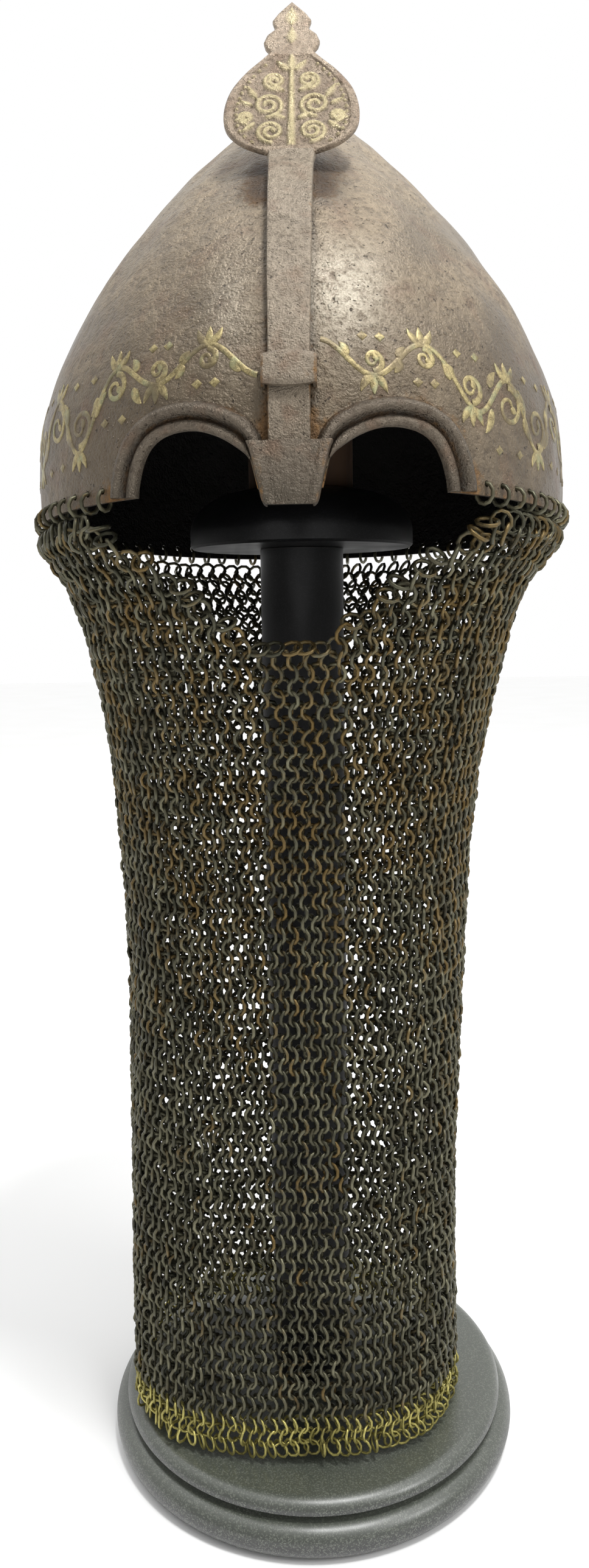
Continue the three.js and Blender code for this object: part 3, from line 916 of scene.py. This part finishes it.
def bar_rings():
    """Sections of the curved bar, with rounded edges and a forged face."""
    rings = []
    for z in np.linspace(BAR_LOW_Z, BAR_TOP_Z, BAR_ROWS):
        half = bar_half(z) - 1.5 * smooth_step(BAR_LOW_Z + 3, BAR_LOW_Z, z)
        half += 1.1 * smooth_step(BAR_TOP_Z - 9, BAR_TOP_Z, z)
        across = np.linspace(-half + 0.8, half - 0.8, BAR_ACROSS)
        x = np.concatenate([[-half, -half, -half + 0.25], across, [half - 0.25, half, half], across[::-1]])
        rim = [0.2, BAR_THICKNESS - 0.8, BAR_THICKNESS - 0.2]
        face = BAR_THICKNESS + TONGUE_LIFT * smooth_step(TONGUE_Z - 0.4, TONGUE_Z + 0.4, z)
        out = np.concatenate([rim, np.full(BAR_ACROSS, face), rim[::-1], np.zeros(BAR_ACROSS)])
        ring = arc_point(x, z, out)
        ring += (out > 1)[:, None] * 1.6 * hammer_marks(ring * 2.3)[:, None] * np.array([0, -0.35, 0.15])
        rings.append(ring)
    return np.array(rings)


def plate_half(up):
    """Half the plate's width at a height on it."""
    outline = np.concatenate([spline(PLATE_BODY, 80), PLATE_CROWN])
    return np.interp(up, outline[:, 1], outline[:, 0])


def petal(x, up, foot, angle, length, width):
    """Height share of one leaf: pointed at both ends, ridged along its middle."""
    along = (x - foot[0]) * math.sin(angle) + (up - foot[1]) * math.cos(angle)
    across = (x - foot[0]) * math.cos(angle) - (up - foot[1]) * math.sin(angle)
    share = np.clip(along / length, 0, 1)
    half = width * np.sin(math.pi * share**0.75) + 1e-6
    return np.clip(1.25 - np.abs(across) / half, 0, 1) * ((along > 0) & (along < length))


def vine_stroke(x, up, path, half):
    """Height share of a raised line along a path of points."""
    path = np.asarray(path, float)
    apart = np.sqrt((x[..., None] - path[:, 0]) ** 2 + (up[..., None] - path[:, 1]) ** 2)
    return np.clip(1.5 - (apart / np.broadcast_to(half, len(path))).min(-1), 0, 1)


def curl(x, up, middle, size, turns, way):
    """Height share of a spiral tendril."""
    turn = np.linspace(0, turns * 2 * math.pi, 90)
    reach = size * (1 - 0.78 * turn / turn[-1])
    path = np.stack([middle[0] + way * reach * np.sin(turn), middle[1] - reach * np.cos(turn)], -1)
    return vine_stroke(x, up, path, CURL_HALF)


def beads(x, up):
    """Height share of a row of beads inside the plate's border."""
    level = np.arange(5, 44, BEAD_PITCH)
    reach = plate_half(level) - PLATE_BORDER - 1.4
    return vine_stroke(np.abs(x), up, np.stack([reach, level], -1), BEAD_HALF)


def plate_relief(x, up):
    """Relief of the plate's face: a plain border, a sunk ground, and mirrored scrolls on a stem with beads."""
    edge = np.minimum(plate_half(up) - np.abs(x), np.minimum(up + 0.4, (PLATE_CROWN_LOW - up) * 0.8))
    field = smooth_step(PLATE_BORDER - 0.4, PLATE_BORDER + 0.4, edge)
    side = np.abs(x)
    raised = beads(x, up)
    stem = np.stack([np.zeros(60), np.linspace(3.5, 40, 60)], -1)
    raised = np.maximum(raised, vine_stroke(side, up, stem, np.linspace(1.3, 0.8, 60)))
    for across, level, size, way in PLATE_CURLS:
        raised = np.maximum(raised, curl(side, up, (across, level), size, 1.7, way))
    for leaf in PLATE_SIDE_LEAVES:
        raised = np.maximum(raised, petal(side, up, *leaf))
    for leaf in PLATE_MIDDLE_LEAVES:
        raised = np.maximum(raised, petal(x, up, *leaf))
    ground = 0.12 * np.sin(x * 4.4 + np.sin(up * 1.7) * 1.2) * np.sin(up * 4.1 + np.sin(x * 1.3))
    crown = (up > PLATE_CROWN_LOW) * 0.5 * raised
    return field * (-0.6 + ground + 0.8 * raised) + crown, field, raised


def plate_grid():
    """Points and quads of the onion-shaped plate, and how sunk and how raised each point is.

    Its front is a grid with relief, its back is plain, and its edge is rounded.
    """
    body_up = np.linspace(0, PLATE_NECK, PLATE_BODY_ROWS)
    crown_up = np.linspace(PLATE_NECK, PLATE_TOP, PLATE_CROWN_ROWS + 1)[1:]
    up = np.concatenate([body_up, crown_up])
    side = np.linspace(-1, 1, PLATE_COLUMNS)
    x = plate_half(up)[:, None] * side[None]
    rise = np.broadcast_to(up[:, None], x.shape)
    relief, field, leaves = plate_relief(x, rise)
    edge = np.minimum(plate_half(up)[:, None] - np.abs(x), np.minimum(rise, PLATE_TIP - rise))
    rounding = 0.7 * np.clip(1 - edge / 1.2, 0, 1) ** 2
    front = PLATE_THICKNESS - rounding + relief
    back = np.broadcast_to(0.5 * rounding, front.shape)
    sheets = []
    for out in (front, back):
        y = PLATE_FOOT[0] + PLATE_THICKNESS + rise * math.sin(PLATE_LEAN) - out * math.cos(PLATE_LEAN)
        z = PLATE_FOOT[1] + rise * math.cos(PLATE_LEAN) + (out - PLATE_THICKNESS) * math.sin(PLATE_LEAN)
        sheets.append(np.stack([x, y, z], -1))
    rows, columns = x.shape
    count = rows * columns
    quads = [grid_quads(rows, columns), grid_quads(rows, columns, first=count)[:, ::-1]]
    corner = np.arange(count).reshape(rows, columns)
    loop = np.concatenate([corner[0], corner[1:, -1], corner[-1, -2::-1], corner[-2:0:-1, 0]])
    following = np.roll(loop, -1)
    quads.append(np.stack([following, loop, loop + count, following + count], -1))
    points = np.concatenate([sheet.reshape(-1, 3) for sheet in sheets])
    low = np.concatenate([((1 - leaves) * field).ravel(), np.zeros(count)])
    high = np.concatenate([(leaves * np.maximum(field, rise > PLATE_CROWN_LOW)).ravel(), np.zeros(count)])
    return points, np.concatenate(quads), low, high


def add_nasal():
    """The sliding bar and the plate on its upper end."""
    rings = bar_rings()
    mesh = swept("nasal_bar_forged", to_world(rings))
    edge = np.abs(rings[..., 0]) > BAR_EDGE_HALF
    low = smooth_step(80, 15, rings[..., 2])
    rust = 0.16 + edge * (0.1 + 0.25 * low)
    point_values(mesh, "rust", np.concatenate([rust.ravel(), [0.2, 0.2]]))
    point_values(mesh, "dark", np.zeros(len(mesh.vertices)))
    place_piece("nasal_bar_forged", mesh, BAR_IRON, "nasal", ["nasal_bar"])
    points, quads, low, high = plate_grid()
    mesh = build_mesh("nasal_plate", to_world(points), quads)
    point_values(mesh, "rust", 0.06 + 0.14 * low)
    point_values(mesh, "dark", 0.14 * low)
    point_values(mesh, "gilt", high)
    place_piece("nasal_plate", mesh, PLATE_IRON, "nasal", ["nasal_bar"])


# Stub on the crown

STUB_RADIUS = 6.5
STUB_LOW = 169
STUB_HIGH = 195


def add_stub():
    """A short round stub with a flared foot and a rounded end."""
    foot = [(1.6, 3), (0.6, 6), (0, 8)]
    end = [(-0.3, -1.2), (-1, -0.4), (-2.2, 0)]
    profile = [(STUB_RADIUS + out, STUB_LOW + rise) for out, rise in foot]
    profile += [(STUB_RADIUS, z) for z in np.linspace(STUB_LOW + 11, STUB_HIGH - 2.4, 6)]
    profile += [(STUB_RADIUS + out, STUB_HIGH + rise) for out, rise in end]
    mesh = turned_mesh("crown_stub_forged", profile, 48)
    points = mesh_points(mesh)
    mesh.vertices.foreach_set("co", (to_world(points) * MM).astype(np.float32).ravel())
    point_values(mesh, "rust", np.full(len(points), 0.35))
    point_values(mesh, "dark", np.full(len(points), 0.3))
    place_piece("crown_stub_forged", mesh, BAR_IRON, "helmet", ["crown_stub"])


# Gilt scrollwork round the skull

VINE_WAVES = 18
VINE_GAP_ANGLE = math.radians(5.6)
STROKE_LIFT = 0.24
# Lanes across a stroke: place over its width, and share of the lift
STROKE_LANES = ((-0.5, -0.1), (-0.36, 0.8), (0, 1), (0.36, 0.8), (0.5, -0.1))
STROKE_EDGES = (0.8, 0.1, 0, 0.1, 0.8)
STEM_STEPS = 900
STEM_WIDTH = 2.1
LEAF_STEPS = 14
BAND_RADIUS = 107


class Strokes:
    """Flat tapering strokes laid on the skull, gathered into one mesh."""

    def __init__(self):
        self.points = []
        self.quads = []
        self.count = 0

    def stroke(self, path, widths):
        """A stroke along a path of distance round and height, in millimetres at the rim's radius."""
        path = np.asarray(path, float)
        along = np.gradient(path, axis=0)
        along /= np.linalg.norm(along, axis=1)[:, None] + 1e-9
        normal = np.stack([-along[:, 1], along[:, 0]], -1)
        widths = np.broadcast_to(np.asarray(widths, float), len(path))[:, None]
        lanes = []
        for place, lift in STROKE_LANES:
            spot = path + normal * widths * place
            lanes.append(on_skull(spot[:, 0] / BAND_RADIUS, spot[:, 1], STROKE_LIFT * lift))
        block = np.stack(lanes, 1)
        self.points.append(block.reshape(-1, 3))
        self.quads.append(grid_quads(len(path), len(lanes))[:, ::-1] + self.count)
        self.count += block.shape[0] * block.shape[1]

    def mesh(self, name):
        return build_mesh(name, to_world(np.concatenate(self.points)), np.concatenate(self.quads))


def leaf_path(start, angle, length, bend):
    """A leaf's middle line that starts at a point and bends to one side."""
    heading = angle + bend * np.linspace(0, 1, LEAF_STEPS)
    steps = length / (LEAF_STEPS - 1) * np.stack([np.cos(heading), np.sin(heading)], -1)
    return np.asarray(start) + np.cumsum(steps, 0) - steps[0]


def leaf_widths(widest):
    share = np.linspace(0, 1, LEAF_STEPS)
    return 0.15 + widest * np.sin(math.pi * share**0.7) ** 0.8


def over_brow(angle):
    """1 over the brow, easing to 0 at the sides and back."""
    return smooth_step(math.radians(46), math.radians(26), from_front(angle))


def vine_middle(angle):
    """Height of the vine's middle line, which climbs to pass over the brow."""
    return 29.5 + 12.5 * over_brow(angle)


def vine_swing(angle):
    """How far the vine swings above and below its middle line."""
    return 11 - 5.2 * over_brow(angle)


def vine_point(angle):
    height = vine_middle(angle) + vine_swing(angle) * np.sin(VINE_WAVES * angle)
    return np.stack([angle * BAND_RADIUS, height], -1)


def add_scrollwork():
    """A waving stem with a curl in each bend, three leaves at each crest, and diamond dots."""
    strokes = Strokes()
    stem = np.linspace(VINE_GAP_ANGLE, 2 * math.pi - VINE_GAP_ANGLE, STEM_STEPS)
    strokes.stroke(vine_point(stem), STEM_WIDTH)
    for bend in range(2 * VINE_WAVES):
        angle = (bend + 0.5) * math.pi / VINE_WAVES
        if min(angle, 2 * math.pi - angle) < VINE_GAP_ANGLE + math.radians(2):
            continue
        way = -1 if bend % 2 == 0 else 1
        swing = vine_swing(angle)
        middle = np.array([angle * BAND_RADIUS, vine_middle(angle)])
        size = 0.64 * swing
        turn = np.linspace(0, 1.2 * 2 * math.pi, 46)
        reach = size * (1 - 0.76 * turn / turn[-1])
        curl_middle = middle + np.array([0, -way * 0.16 * swing])
        path = curl_middle + np.stack([reach * np.sin(turn), -way * reach * np.cos(turn)], -1)
        strokes.stroke(path, np.linspace(2.6, 1.2, len(path)))
        strokes.stroke(leaf_path(path[-1], way * 1.2, 3.6, 1.2), leaf_widths(2.6))
        crest = middle + np.array([0, -way * swing])
        for lean, length, bend_way in ((0.4, 7.5, 0.9), (1.57, 6.4, 0.0), (2.74, 7.5, -0.9)):
            strokes.stroke(leaf_path(crest, -way * lean, length, -way * bend_way), leaf_widths(3.1))
        for side in (-1, 1):
            spot = middle + np.array([side * 0.85 * size, way * 1.25 * swing])
            strokes.stroke([spot + [reach, 0] for reach in (-1.9, -0.1, 0.1, 1.9)], [0.1, 3.6, 3.6, 0.1])
            foot = middle + np.array([side * 0.5 * math.pi / VINE_WAVES * BAND_RADIUS, 0])
            strokes.stroke(leaf_path(foot, way * 1.5, 0.9 * swing, -side * way * 0.9), leaf_widths(3.6))
    mesh = strokes.mesh("gilt_scrollwork")
    point_values(mesh, "edge", np.tile(STROKE_EDGES, len(mesh.vertices) // len(STROKE_EDGES)))
    place_piece("gilt_scrollwork", mesh, GILT, "helmet", sharp=0)


# Mail

RING_RADIUS = 3.5
WIRE_RADIUS = 0.78
BRASS_WIRE_RADIUS = 0.6
RING_SIDES = 10
WIRE_SIDES = 5
MAIL_COLUMNS = 98
PLAN_STEPS = 720
PITCH_HEIGHT = [24, 225, 298, 405]
ROW_PITCH = [5.1, 5.0, 4.6, 4.2]
BRASS_ROWS = 3
FIRST_ROW_DROP = 7.2
NO_NOTCH = 1000
LOOSE_ROWS = 2
DRAPE_INSET = 1.3
# Lean of a ring out of the sheet, as its cosine: at no spacing, per millimetre of spacing, and at most
LEAN_START = 0.53
LEAN_PER_MM = 0.058
LEAN_MOST = 0.85
# Rings along the notch lie nearly flat: their nod, and how far below the edge they count as such
EDGE_NOD = (2.2, 6.5)
EDGE_REACH = 3.2
# Rings by the rim are larger than those below
RIM_RING_GROWTH = 0.14
RIM_RING_HEIGHTS = (345, 392)
MAIL_PARTS = ("front_right", "right", "back_right", "back_left", "left", "front_left")


def bent(value, power):
    """A sine or cosine bent towards a squarer plan."""
    return np.sign(value) * np.abs(value) ** (2 / power)


def mail_at(angle, height):
    """Points of the mail's middle sheet at plan angles from the front."""
    side, width, front, back, power = (
        np.interp(height, MAIL_HEIGHT[::-1], values[::-1])
        for values in (MAIL_SIDE, MAIL_WIDTH, MAIL_FRONT, MAIL_BACK, MAIL_POWER)
    )
    reach = np.where(np.cos(angle) > 0, front, back)
    hang = smooth_step(400, 300, height)
    wave = 0.5 * np.sin(5 * angle + height / 60) + 0.4 * np.sin(9 * angle - height / 45 + 1)
    wave = hang * (wave - DRAPE_INSET)
    across = side + (width + wave) * bent(np.sin(angle), power)
    return np.stack([across, -(reach + wave) * bent(np.cos(angle), power), height], -1)


def plan_tables():
    """For each listed height, the share of the way round the mail at evenly spaced plan angles."""
    angles = np.linspace(0, 2 * math.pi, PLAN_STEPS + 1)
    shares = []
    for height in MAIL_HEIGHT:
        line = mail_at(angles, np.full(len(angles), float(height)))
        walked = np.concatenate([[0], np.cumsum(np.linalg.norm(np.diff(line, axis=0), axis=1))])
        shares.append(walked / walked[-1])
    return angles, np.array(shares)


PLAN_ANGLES, PLAN_SHARES = plan_tables()


def plan_angle(turn, height):
    """Plan angles at which turn, a share of the way round counted as an angle, is walked at a height."""
    share = (np.asarray(turn) / (2 * math.pi)) % 1
    each = np.array([np.interp(share, shares, PLAN_ANGLES) for shares in PLAN_SHARES[::-1]])
    low = MAIL_HEIGHT[::-1]
    place = np.interp(height, low, np.arange(len(low)))
    under = np.minimum(place.astype(int), len(low) - 2)
    mix = place - under
    spot = np.arange(len(share))
    return each[under, spot] * (1 - mix) + each[under + 1, spot] * mix


def mail_middle(turn, height):
    """Points of the mail's middle sheet, evenly spaced along each row."""
    return mail_at(plan_angle(turn, height), height)


def rim_height(angle):
    """Height of the tilted rim at an angle from the front."""
    return RIM_Z + MAIL_FRONT[0] * np.cos(angle) * math.sin(TILT)


def notch_height(angle):
    """Height of the mail's upper edge under the face, and far above the rim elsewhere."""
    share = (NOTCH_HALF_ANGLE - from_front(angle)) / (NOTCH_HALF_ANGLE - NOTCH_FLAT_ANGLE)
    return np.where(share > 0, rim_height(angle) - NOTCH_DEPTH * np.clip(share, 0, 1), NO_NOTCH)


def row_heights():
    """Heights of the rows of rings, from the one below the rim to the hem."""
    height = RIM_Z - FIRST_ROW_DROP
    heights = []
    while height > HEM_BOTTOM + RING_RADIUS:
        heights.append(height)
        height -= np.interp(height, PITCH_HEIGHT, ROW_PITCH)
    return heights


def ring_mesh(name, centres, down, across, values, sizes, thick=WIRE_RADIUS):
    """Round wire rings as one mesh. Each ring's plane holds its down and across directions.

    The values are stored for the material, one per ring, and the sizes are shares of the usual radius.
    """
    turn = np.linspace(0, 2 * math.pi, RING_SIDES, endpoint=False)
    wire = np.linspace(0, 2 * math.pi, WIRE_SIDES, endpoint=False)
    radial = np.cos(turn)[:, None] * down[:, None] + np.sin(turn)[:, None] * across[:, None]
    face = np.cross(down, across)
    reach = RING_RADIUS * sizes[:, None] + thick * np.cos(wire)
    points = centres[:, None, None] + radial[:, :, None] * reach[:, None, :, None]
    points = points + face[:, None, None] * (thick * np.sin(wire))[:, None]
    each = RING_SIDES * WIRE_SIDES
    quads = grid_quads(RING_SIDES, WIRE_SIDES, wrap_rows=True, wrap_columns=True)[:, ::-1]
    all_quads = quads[None] + each * np.arange(len(centres))[:, None, None]
    mesh = build_mesh(name, points.reshape(-1, 3), all_quads.reshape(-1, 4))
    for label, value in values.items():
        point_values(mesh, label, np.repeat(value, each))
    return mesh


def unit(vectors):
    """The vectors, each made one long."""
    return vectors / np.linalg.norm(vectors, axis=-1)[..., None]


def upright_to(across, down):
    """The across directions, turned to stand square to the down directions."""
    return unit(across - (across * down).sum(1)[:, None] * down)


def mail_rings():
    """Places, directions, sizes and finish of every ring below the rim."""
    rows = row_heights()
    angle, height, row = [], [], []
    for number, level in enumerate(rows):
        spots = (np.arange(MAIL_COLUMNS) + 0.5 * (number % 2)) / MAIL_COLUMNS * 2 * math.pi
        settle = smooth_step(300, 400, level)
        levels = level + (rim_height(spots) - RIM_Z) * settle
        kept = levels < notch_height(plan_angle(spots, levels)) - RING_RADIUS + 0.5
        angle.append(spots[kept])
        height.append(levels[kept])
        row.append(np.full(kept.sum(), number))
    angle, height, row = map(np.concatenate, (angle, height, row))
    height = height + chance.normal(0, 0.16, len(height))
    low = smooth_step(120, 30, height)
    height = height + low * (0.9 * np.sin(3 * angle + 0.6) + 0.6 * np.sin(7 * angle))
    angle = angle + chance.normal(0, 0.0022, len(angle))
    centre = mail_middle(angle, height) + chance.normal(0, 0.18, (len(angle), 3))
    down = unit(mail_middle(angle, height - 2) - mail_middle(angle, height + 2))
    round_way = unit(mail_middle(angle + 0.01, height) - mail_middle(angle - 0.01, height))
    outward = unit(np.cross(round_way, -down))
    step = 2 * math.pi / MAIL_COLUMNS
    beside = mail_middle(angle + step / 2, height) - mail_middle(angle - step / 2, height)
    apart = np.linalg.norm(beside, axis=1)
    lean = np.arccos(np.clip(LEAN_START + LEAN_PER_MM * apart, 0, LEAN_MOST))
    lean = lean + chance.normal(0, 0.12, len(angle))
    lean = np.where(row % 2 == 0, 1, -1) * lean
    loose = row >= len(rows) - LOOSE_ROWS
    lean = np.where(loose, lean + chance.normal(0, 0.3, len(angle)), lean)
    across = unit(round_way * np.cos(lean)[:, None] + outward * np.sin(lean)[:, None])
    nod = chance.normal(0, 0.1, len(angle))
    edge = height > notch_height(plan_angle(angle, height)) - RING_RADIUS - EDGE_REACH
    nod = np.where(edge, chance.uniform(*EDGE_NOD, len(angle)), nod)[:, None]
    centre[edge] += 1.2 * down[edge] - 0.8 * outward[edge]
    down = unit(down + nod * outward)
    across = upright_to(across, down)
    front_right = 0.5 + 0.5 * np.cos(angle - math.radians(38))
    rust = 0.1 + 0.38 * smooth_step(90, 330, height) * (0.4 + 0.6 * front_right)
    rust = np.clip(rust + chance.normal(0, 0.2, len(angle)), 0, 0.95)
    tone = np.clip(chance.normal(0.42, 0.2, len(angle)), 0, 1)
    sizes = 1 + RIM_RING_GROWTH * smooth_step(*RIM_RING_HEIGHTS, height)
    brass = row >= len(rows) - BRASS_ROWS
    return angle, brass, centre, down, across, sizes, rust, tone


def add_mail():
    """The iron mail in sectors round the curtain, and its brass hem."""
    angle, brass, centre, down, across, sizes, rust, tone = mail_rings()
    part = (angle % (2 * math.pi) // (2 * math.pi / len(MAIL_PARTS))).astype(int)
    for number, name in enumerate(MAIL_PARTS):
        kept = (part == number) & ~brass
        values = {"rust": rust[kept], "tone": tone[kept]}
        mesh = ring_mesh("mail_" + name, centre[kept], down[kept], across[kept], values, sizes[kept])
        place_piece("mail_" + name, mesh, MAIL_IRON, "helmet", ["mail_curtain"], sharp=0)
    values = {"rust": 0.4 * rust[brass], "tone": tone[brass]}
    mesh = ring_mesh(
        "mail_hem_rings", centre[brass], down[brass], across[brass], values, sizes[brass], BRASS_WIRE_RADIUS
    )
    place_piece("mail_hem_rings", mesh, MAIL_BRASS, "helmet", ["mail_hem"], sharp=0)


def add_rim_rings():
    """A ring through each hole of the rim."""
    holes = rim_hole_angles()
    height = np.full(len(holes), RIM_HOLE_HEIGHT - RING_RADIUS + 0.35)
    middle = to_world(on_skull(holes, height, -WALL / 2, dented=False))
    outward = np.stack([np.sin(holes), -np.cos(holes), 0 * holes], -1)
    round_way = np.stack([np.cos(holes), np.sin(holes), 0 * holes], -1)
    twist = chance.normal(0, 0.16, len(holes))[:, None]
    down = unit(np.array([0, 0, -1]) + 0.1 * chance.normal(size=(len(holes), 1)) * outward)
    across = upright_to(unit(outward + twist * round_way), down)
    rust = np.clip(chance.normal(0.3, 0.2, len(holes)), 0, 1)
    values = {"rust": rust, "tone": chance.uniform(0.2, 0.8, len(holes))}
    mesh = ring_mesh("mail_rim_rings", middle, down, across, values, np.ones(len(holes)))
    place_piece("mail_rim_rings", mesh, MAIL_IRON, "helmet", ["mail_curtain"], sharp=0)


# Stand

FOOT_RADIUS = 93.5
FOOT_ROLL = 7.2
FOOT_GROOVE = 85
FOOT_SHOULDER = 88
FOOT_SHOULDER_ROUND = (6, 5)
CAP_SIDE = 6
BLOCK_TOP = RIM_Z + 150
SEAT_GAP = 0.3


def bend(middle, reach_x, reach_z, start, end, count):
    """Profile points round part of an oval, in degrees from its lowest point."""
    turn = np.radians(np.linspace(start, end, count))
    return [(middle[0] + reach_x * math.sin(t), middle[1] - reach_z * math.cos(t)) for t in turn]


def add_stand():
    """The stand's foot, post, cap and block, each turned about the same axis."""
    foot = [(40, 0)] + bend((FOOT_RADIUS - FOOT_ROLL, FOOT_ROLL), FOOT_ROLL, FOOT_ROLL, 0, 180, 21)
    foot += [(FOOT_GROOVE, 2 * FOOT_ROLL + 0.6), (FOOT_GROOVE, 2 * FOOT_ROLL + 1.6)]
    wide, tall = FOOT_SHOULDER_ROUND
    foot += bend((FOOT_SHOULDER - wide, FOOT_TOP - tall), wide, tall, 90, 180, 12)
    foot += [(60, FOOT_TOP), (20, FOOT_TOP)]
    mesh = turned_mesh("stand_foot_turned", foot, 192)
    place_piece("stand_foot_turned", mesh, FOOT_BLACK, "helmet", ["stand_foot"])
    levels = [FOOT_TOP + SEAT_GAP, *np.linspace(40, CAP_BOTTOM - SEAT_GAP, 12)]
    post = [(POST_RADIUS, z) for z in levels]
    mesh = turned_mesh("stand_post_turned", post, 96)
    place_piece("stand_post_turned", mesh, STAND_BLACK, "helmet", ["stand_post"])
    cap = [(20, CAP_BOTTOM), (CAP_RADIUS - 1, CAP_BOTTOM), (CAP_RADIUS, CAP_BOTTOM + 1)]
    rise = CAP_TOP - CAP_BOTTOM - CAP_SIDE
    cap += bend((BLOCK_RADIUS + 1, CAP_BOTTOM + CAP_SIDE), CAP_RADIUS - BLOCK_RADIUS - 1, rise, 90, 180, 18)
    cap += [(12, CAP_TOP)]
    mesh = turned_mesh("stand_cap_turned", cap, 144)
    place_piece("stand_cap_turned", mesh, STAND_BLACK, "helmet", ["stand_cap"])
    block = [(BLOCK_RADIUS - 0.6, CAP_TOP + SEAT_GAP), (BLOCK_RADIUS, CAP_TOP + 1)]
    block += [(BLOCK_RADIUS, z) for z in np.linspace(CAP_TOP + 8, BLOCK_TOP - 5, 10)]
    block += [(BLOCK_RADIUS - 4, BLOCK_TOP), (6, BLOCK_TOP + 5)]
    mesh = turned_mesh("stand_block_turned", block, 72)
    place_piece("stand_block_turned", mesh, BLOCK_WOOD, "helmet", ["stand_block"])


# Studio

CAMERA_PLACE = (14.4, -472.4, 375.3)
CAMERA_TURN = math.radians(2.3)
CAMERA_PITCH = math.radians(-8.8)
CAMERA_ROLL = math.radians(-0.87)
PHOTO_FOCAL = 1779.0
PHOTO_HEIGHT = 2576
SENSOR_HEIGHT = 24.0
FLOOR_HALF = 6000
FLOOR_Z = -0.1
# Places, sizes and powers of the lights, in metres and watts
KEY_LIGHT = {"place": (1.2, -0.75, 1.2), "target": (0, 0, 0.42), "size": 0.6, "power": 8}
TOP_LIGHT = {"place": (0.3, -0.43, 1.7), "target": (0, 0, 0.45), "size": 0.26, "power": 15}
# Strength of the white surroundings in front and behind, and what is added overhead
SURROUND_FRONT = 0.55
SURROUND_BACK = 1.0
SURROUND_OVERHEAD = 0.55


def add_camera():
    """The camera fitted to the photo."""
    data = bpy.data.cameras.new("photo_camera")
    data.sensor_fit = "VERTICAL"
    data.sensor_height = SENSOR_HEIGHT
    data.lens = PHOTO_FOCAL / PHOTO_HEIGHT * SENSOR_HEIGHT
    camera = bpy.data.objects.new("photo_camera", data)
    turn = Matrix.Rotation(CAMERA_TURN, 4, "Z") @ Matrix.Rotation(math.pi / 2 + CAMERA_PITCH, 4, "X")
    turn = turn @ Matrix.Rotation(CAMERA_ROLL, 4, "Z")
    camera.matrix_world = Matrix.Translation(Vector(CAMERA_PLACE) * MM) @ turn
    bpy.context.scene.collection.objects.link(camera)
    bpy.context.scene.camera = camera


def add_light(name, place, target, size, power):
    data = bpy.data.lights.new(name, "AREA")
    data.shape = "DISK"
    data.size = size
    data.energy = power
    light = bpy.data.objects.new(name, data)
    light.location = place
    light.rotation_euler = (Vector(target) - Vector(place)).to_track_quat("-Z", "Y").to_euler()
    bpy.context.scene.collection.objects.link(light)


def add_floor():
    """A wide pale floor just under the foot."""
    material, tree, sockets = new_material("studio_floor", 0.0, 0.8)
    grain = noise(tree, object_place(tree), 6.0, 2.0)
    tree.links.new(mixed(tree, grain, colour(246, 246, 245), colour(251, 251, 251)), sockets["Base Color"])
    signs = ((-1, -1), (1, -1), (1, 1), (-1, 1))
    corners = [(x * FLOOR_HALF, y * FLOOR_HALF, FLOOR_Z) for x, y in signs]
    mesh = build_mesh("studio_floor", corners, [(0, 1, 2, 3)])
    mesh.materials.append(material)
    floor = bpy.data.objects.new("studio_floor", mesh)
    bpy.context.scene.collection.objects.link(floor)


def add_studio():
    """Camera, floor, lights and white surroundings."""
    add_camera()
    add_floor()
    world = bpy.data.worlds.new("studio")
    world.use_nodes = True
    tree = world.node_tree
    backdrop = tree.nodes["Background"].inputs
    backdrop["Color"].default_value = (1, 1, 1, 1)
    way = add_node(tree, "SeparateXYZ", {0: add_node(tree, "TexCoord").outputs["Generated"]})
    level = ranged(tree, way.outputs["Y"], -0.6, 0.4, SURROUND_FRONT, SURROUND_BACK)
    overhead = ranged(tree, way.outputs["Z"], 0.6, 0.95, 0.0, SURROUND_OVERHEAD)
    tree.links.new(maths(tree, "ADD", level, overhead), backdrop["Strength"])
    bpy.context.scene.world = world
    bpy.context.scene.view_settings.view_transform = "Standard"
    add_light("key", **KEY_LIGHT)
    add_light("top", **TOP_LIGHT)


add_skull()
add_brow()
add_staple()
add_nasal()
add_stub()
add_scrollwork()
add_mail()
add_rim_rings()
add_stand()
add_studio()
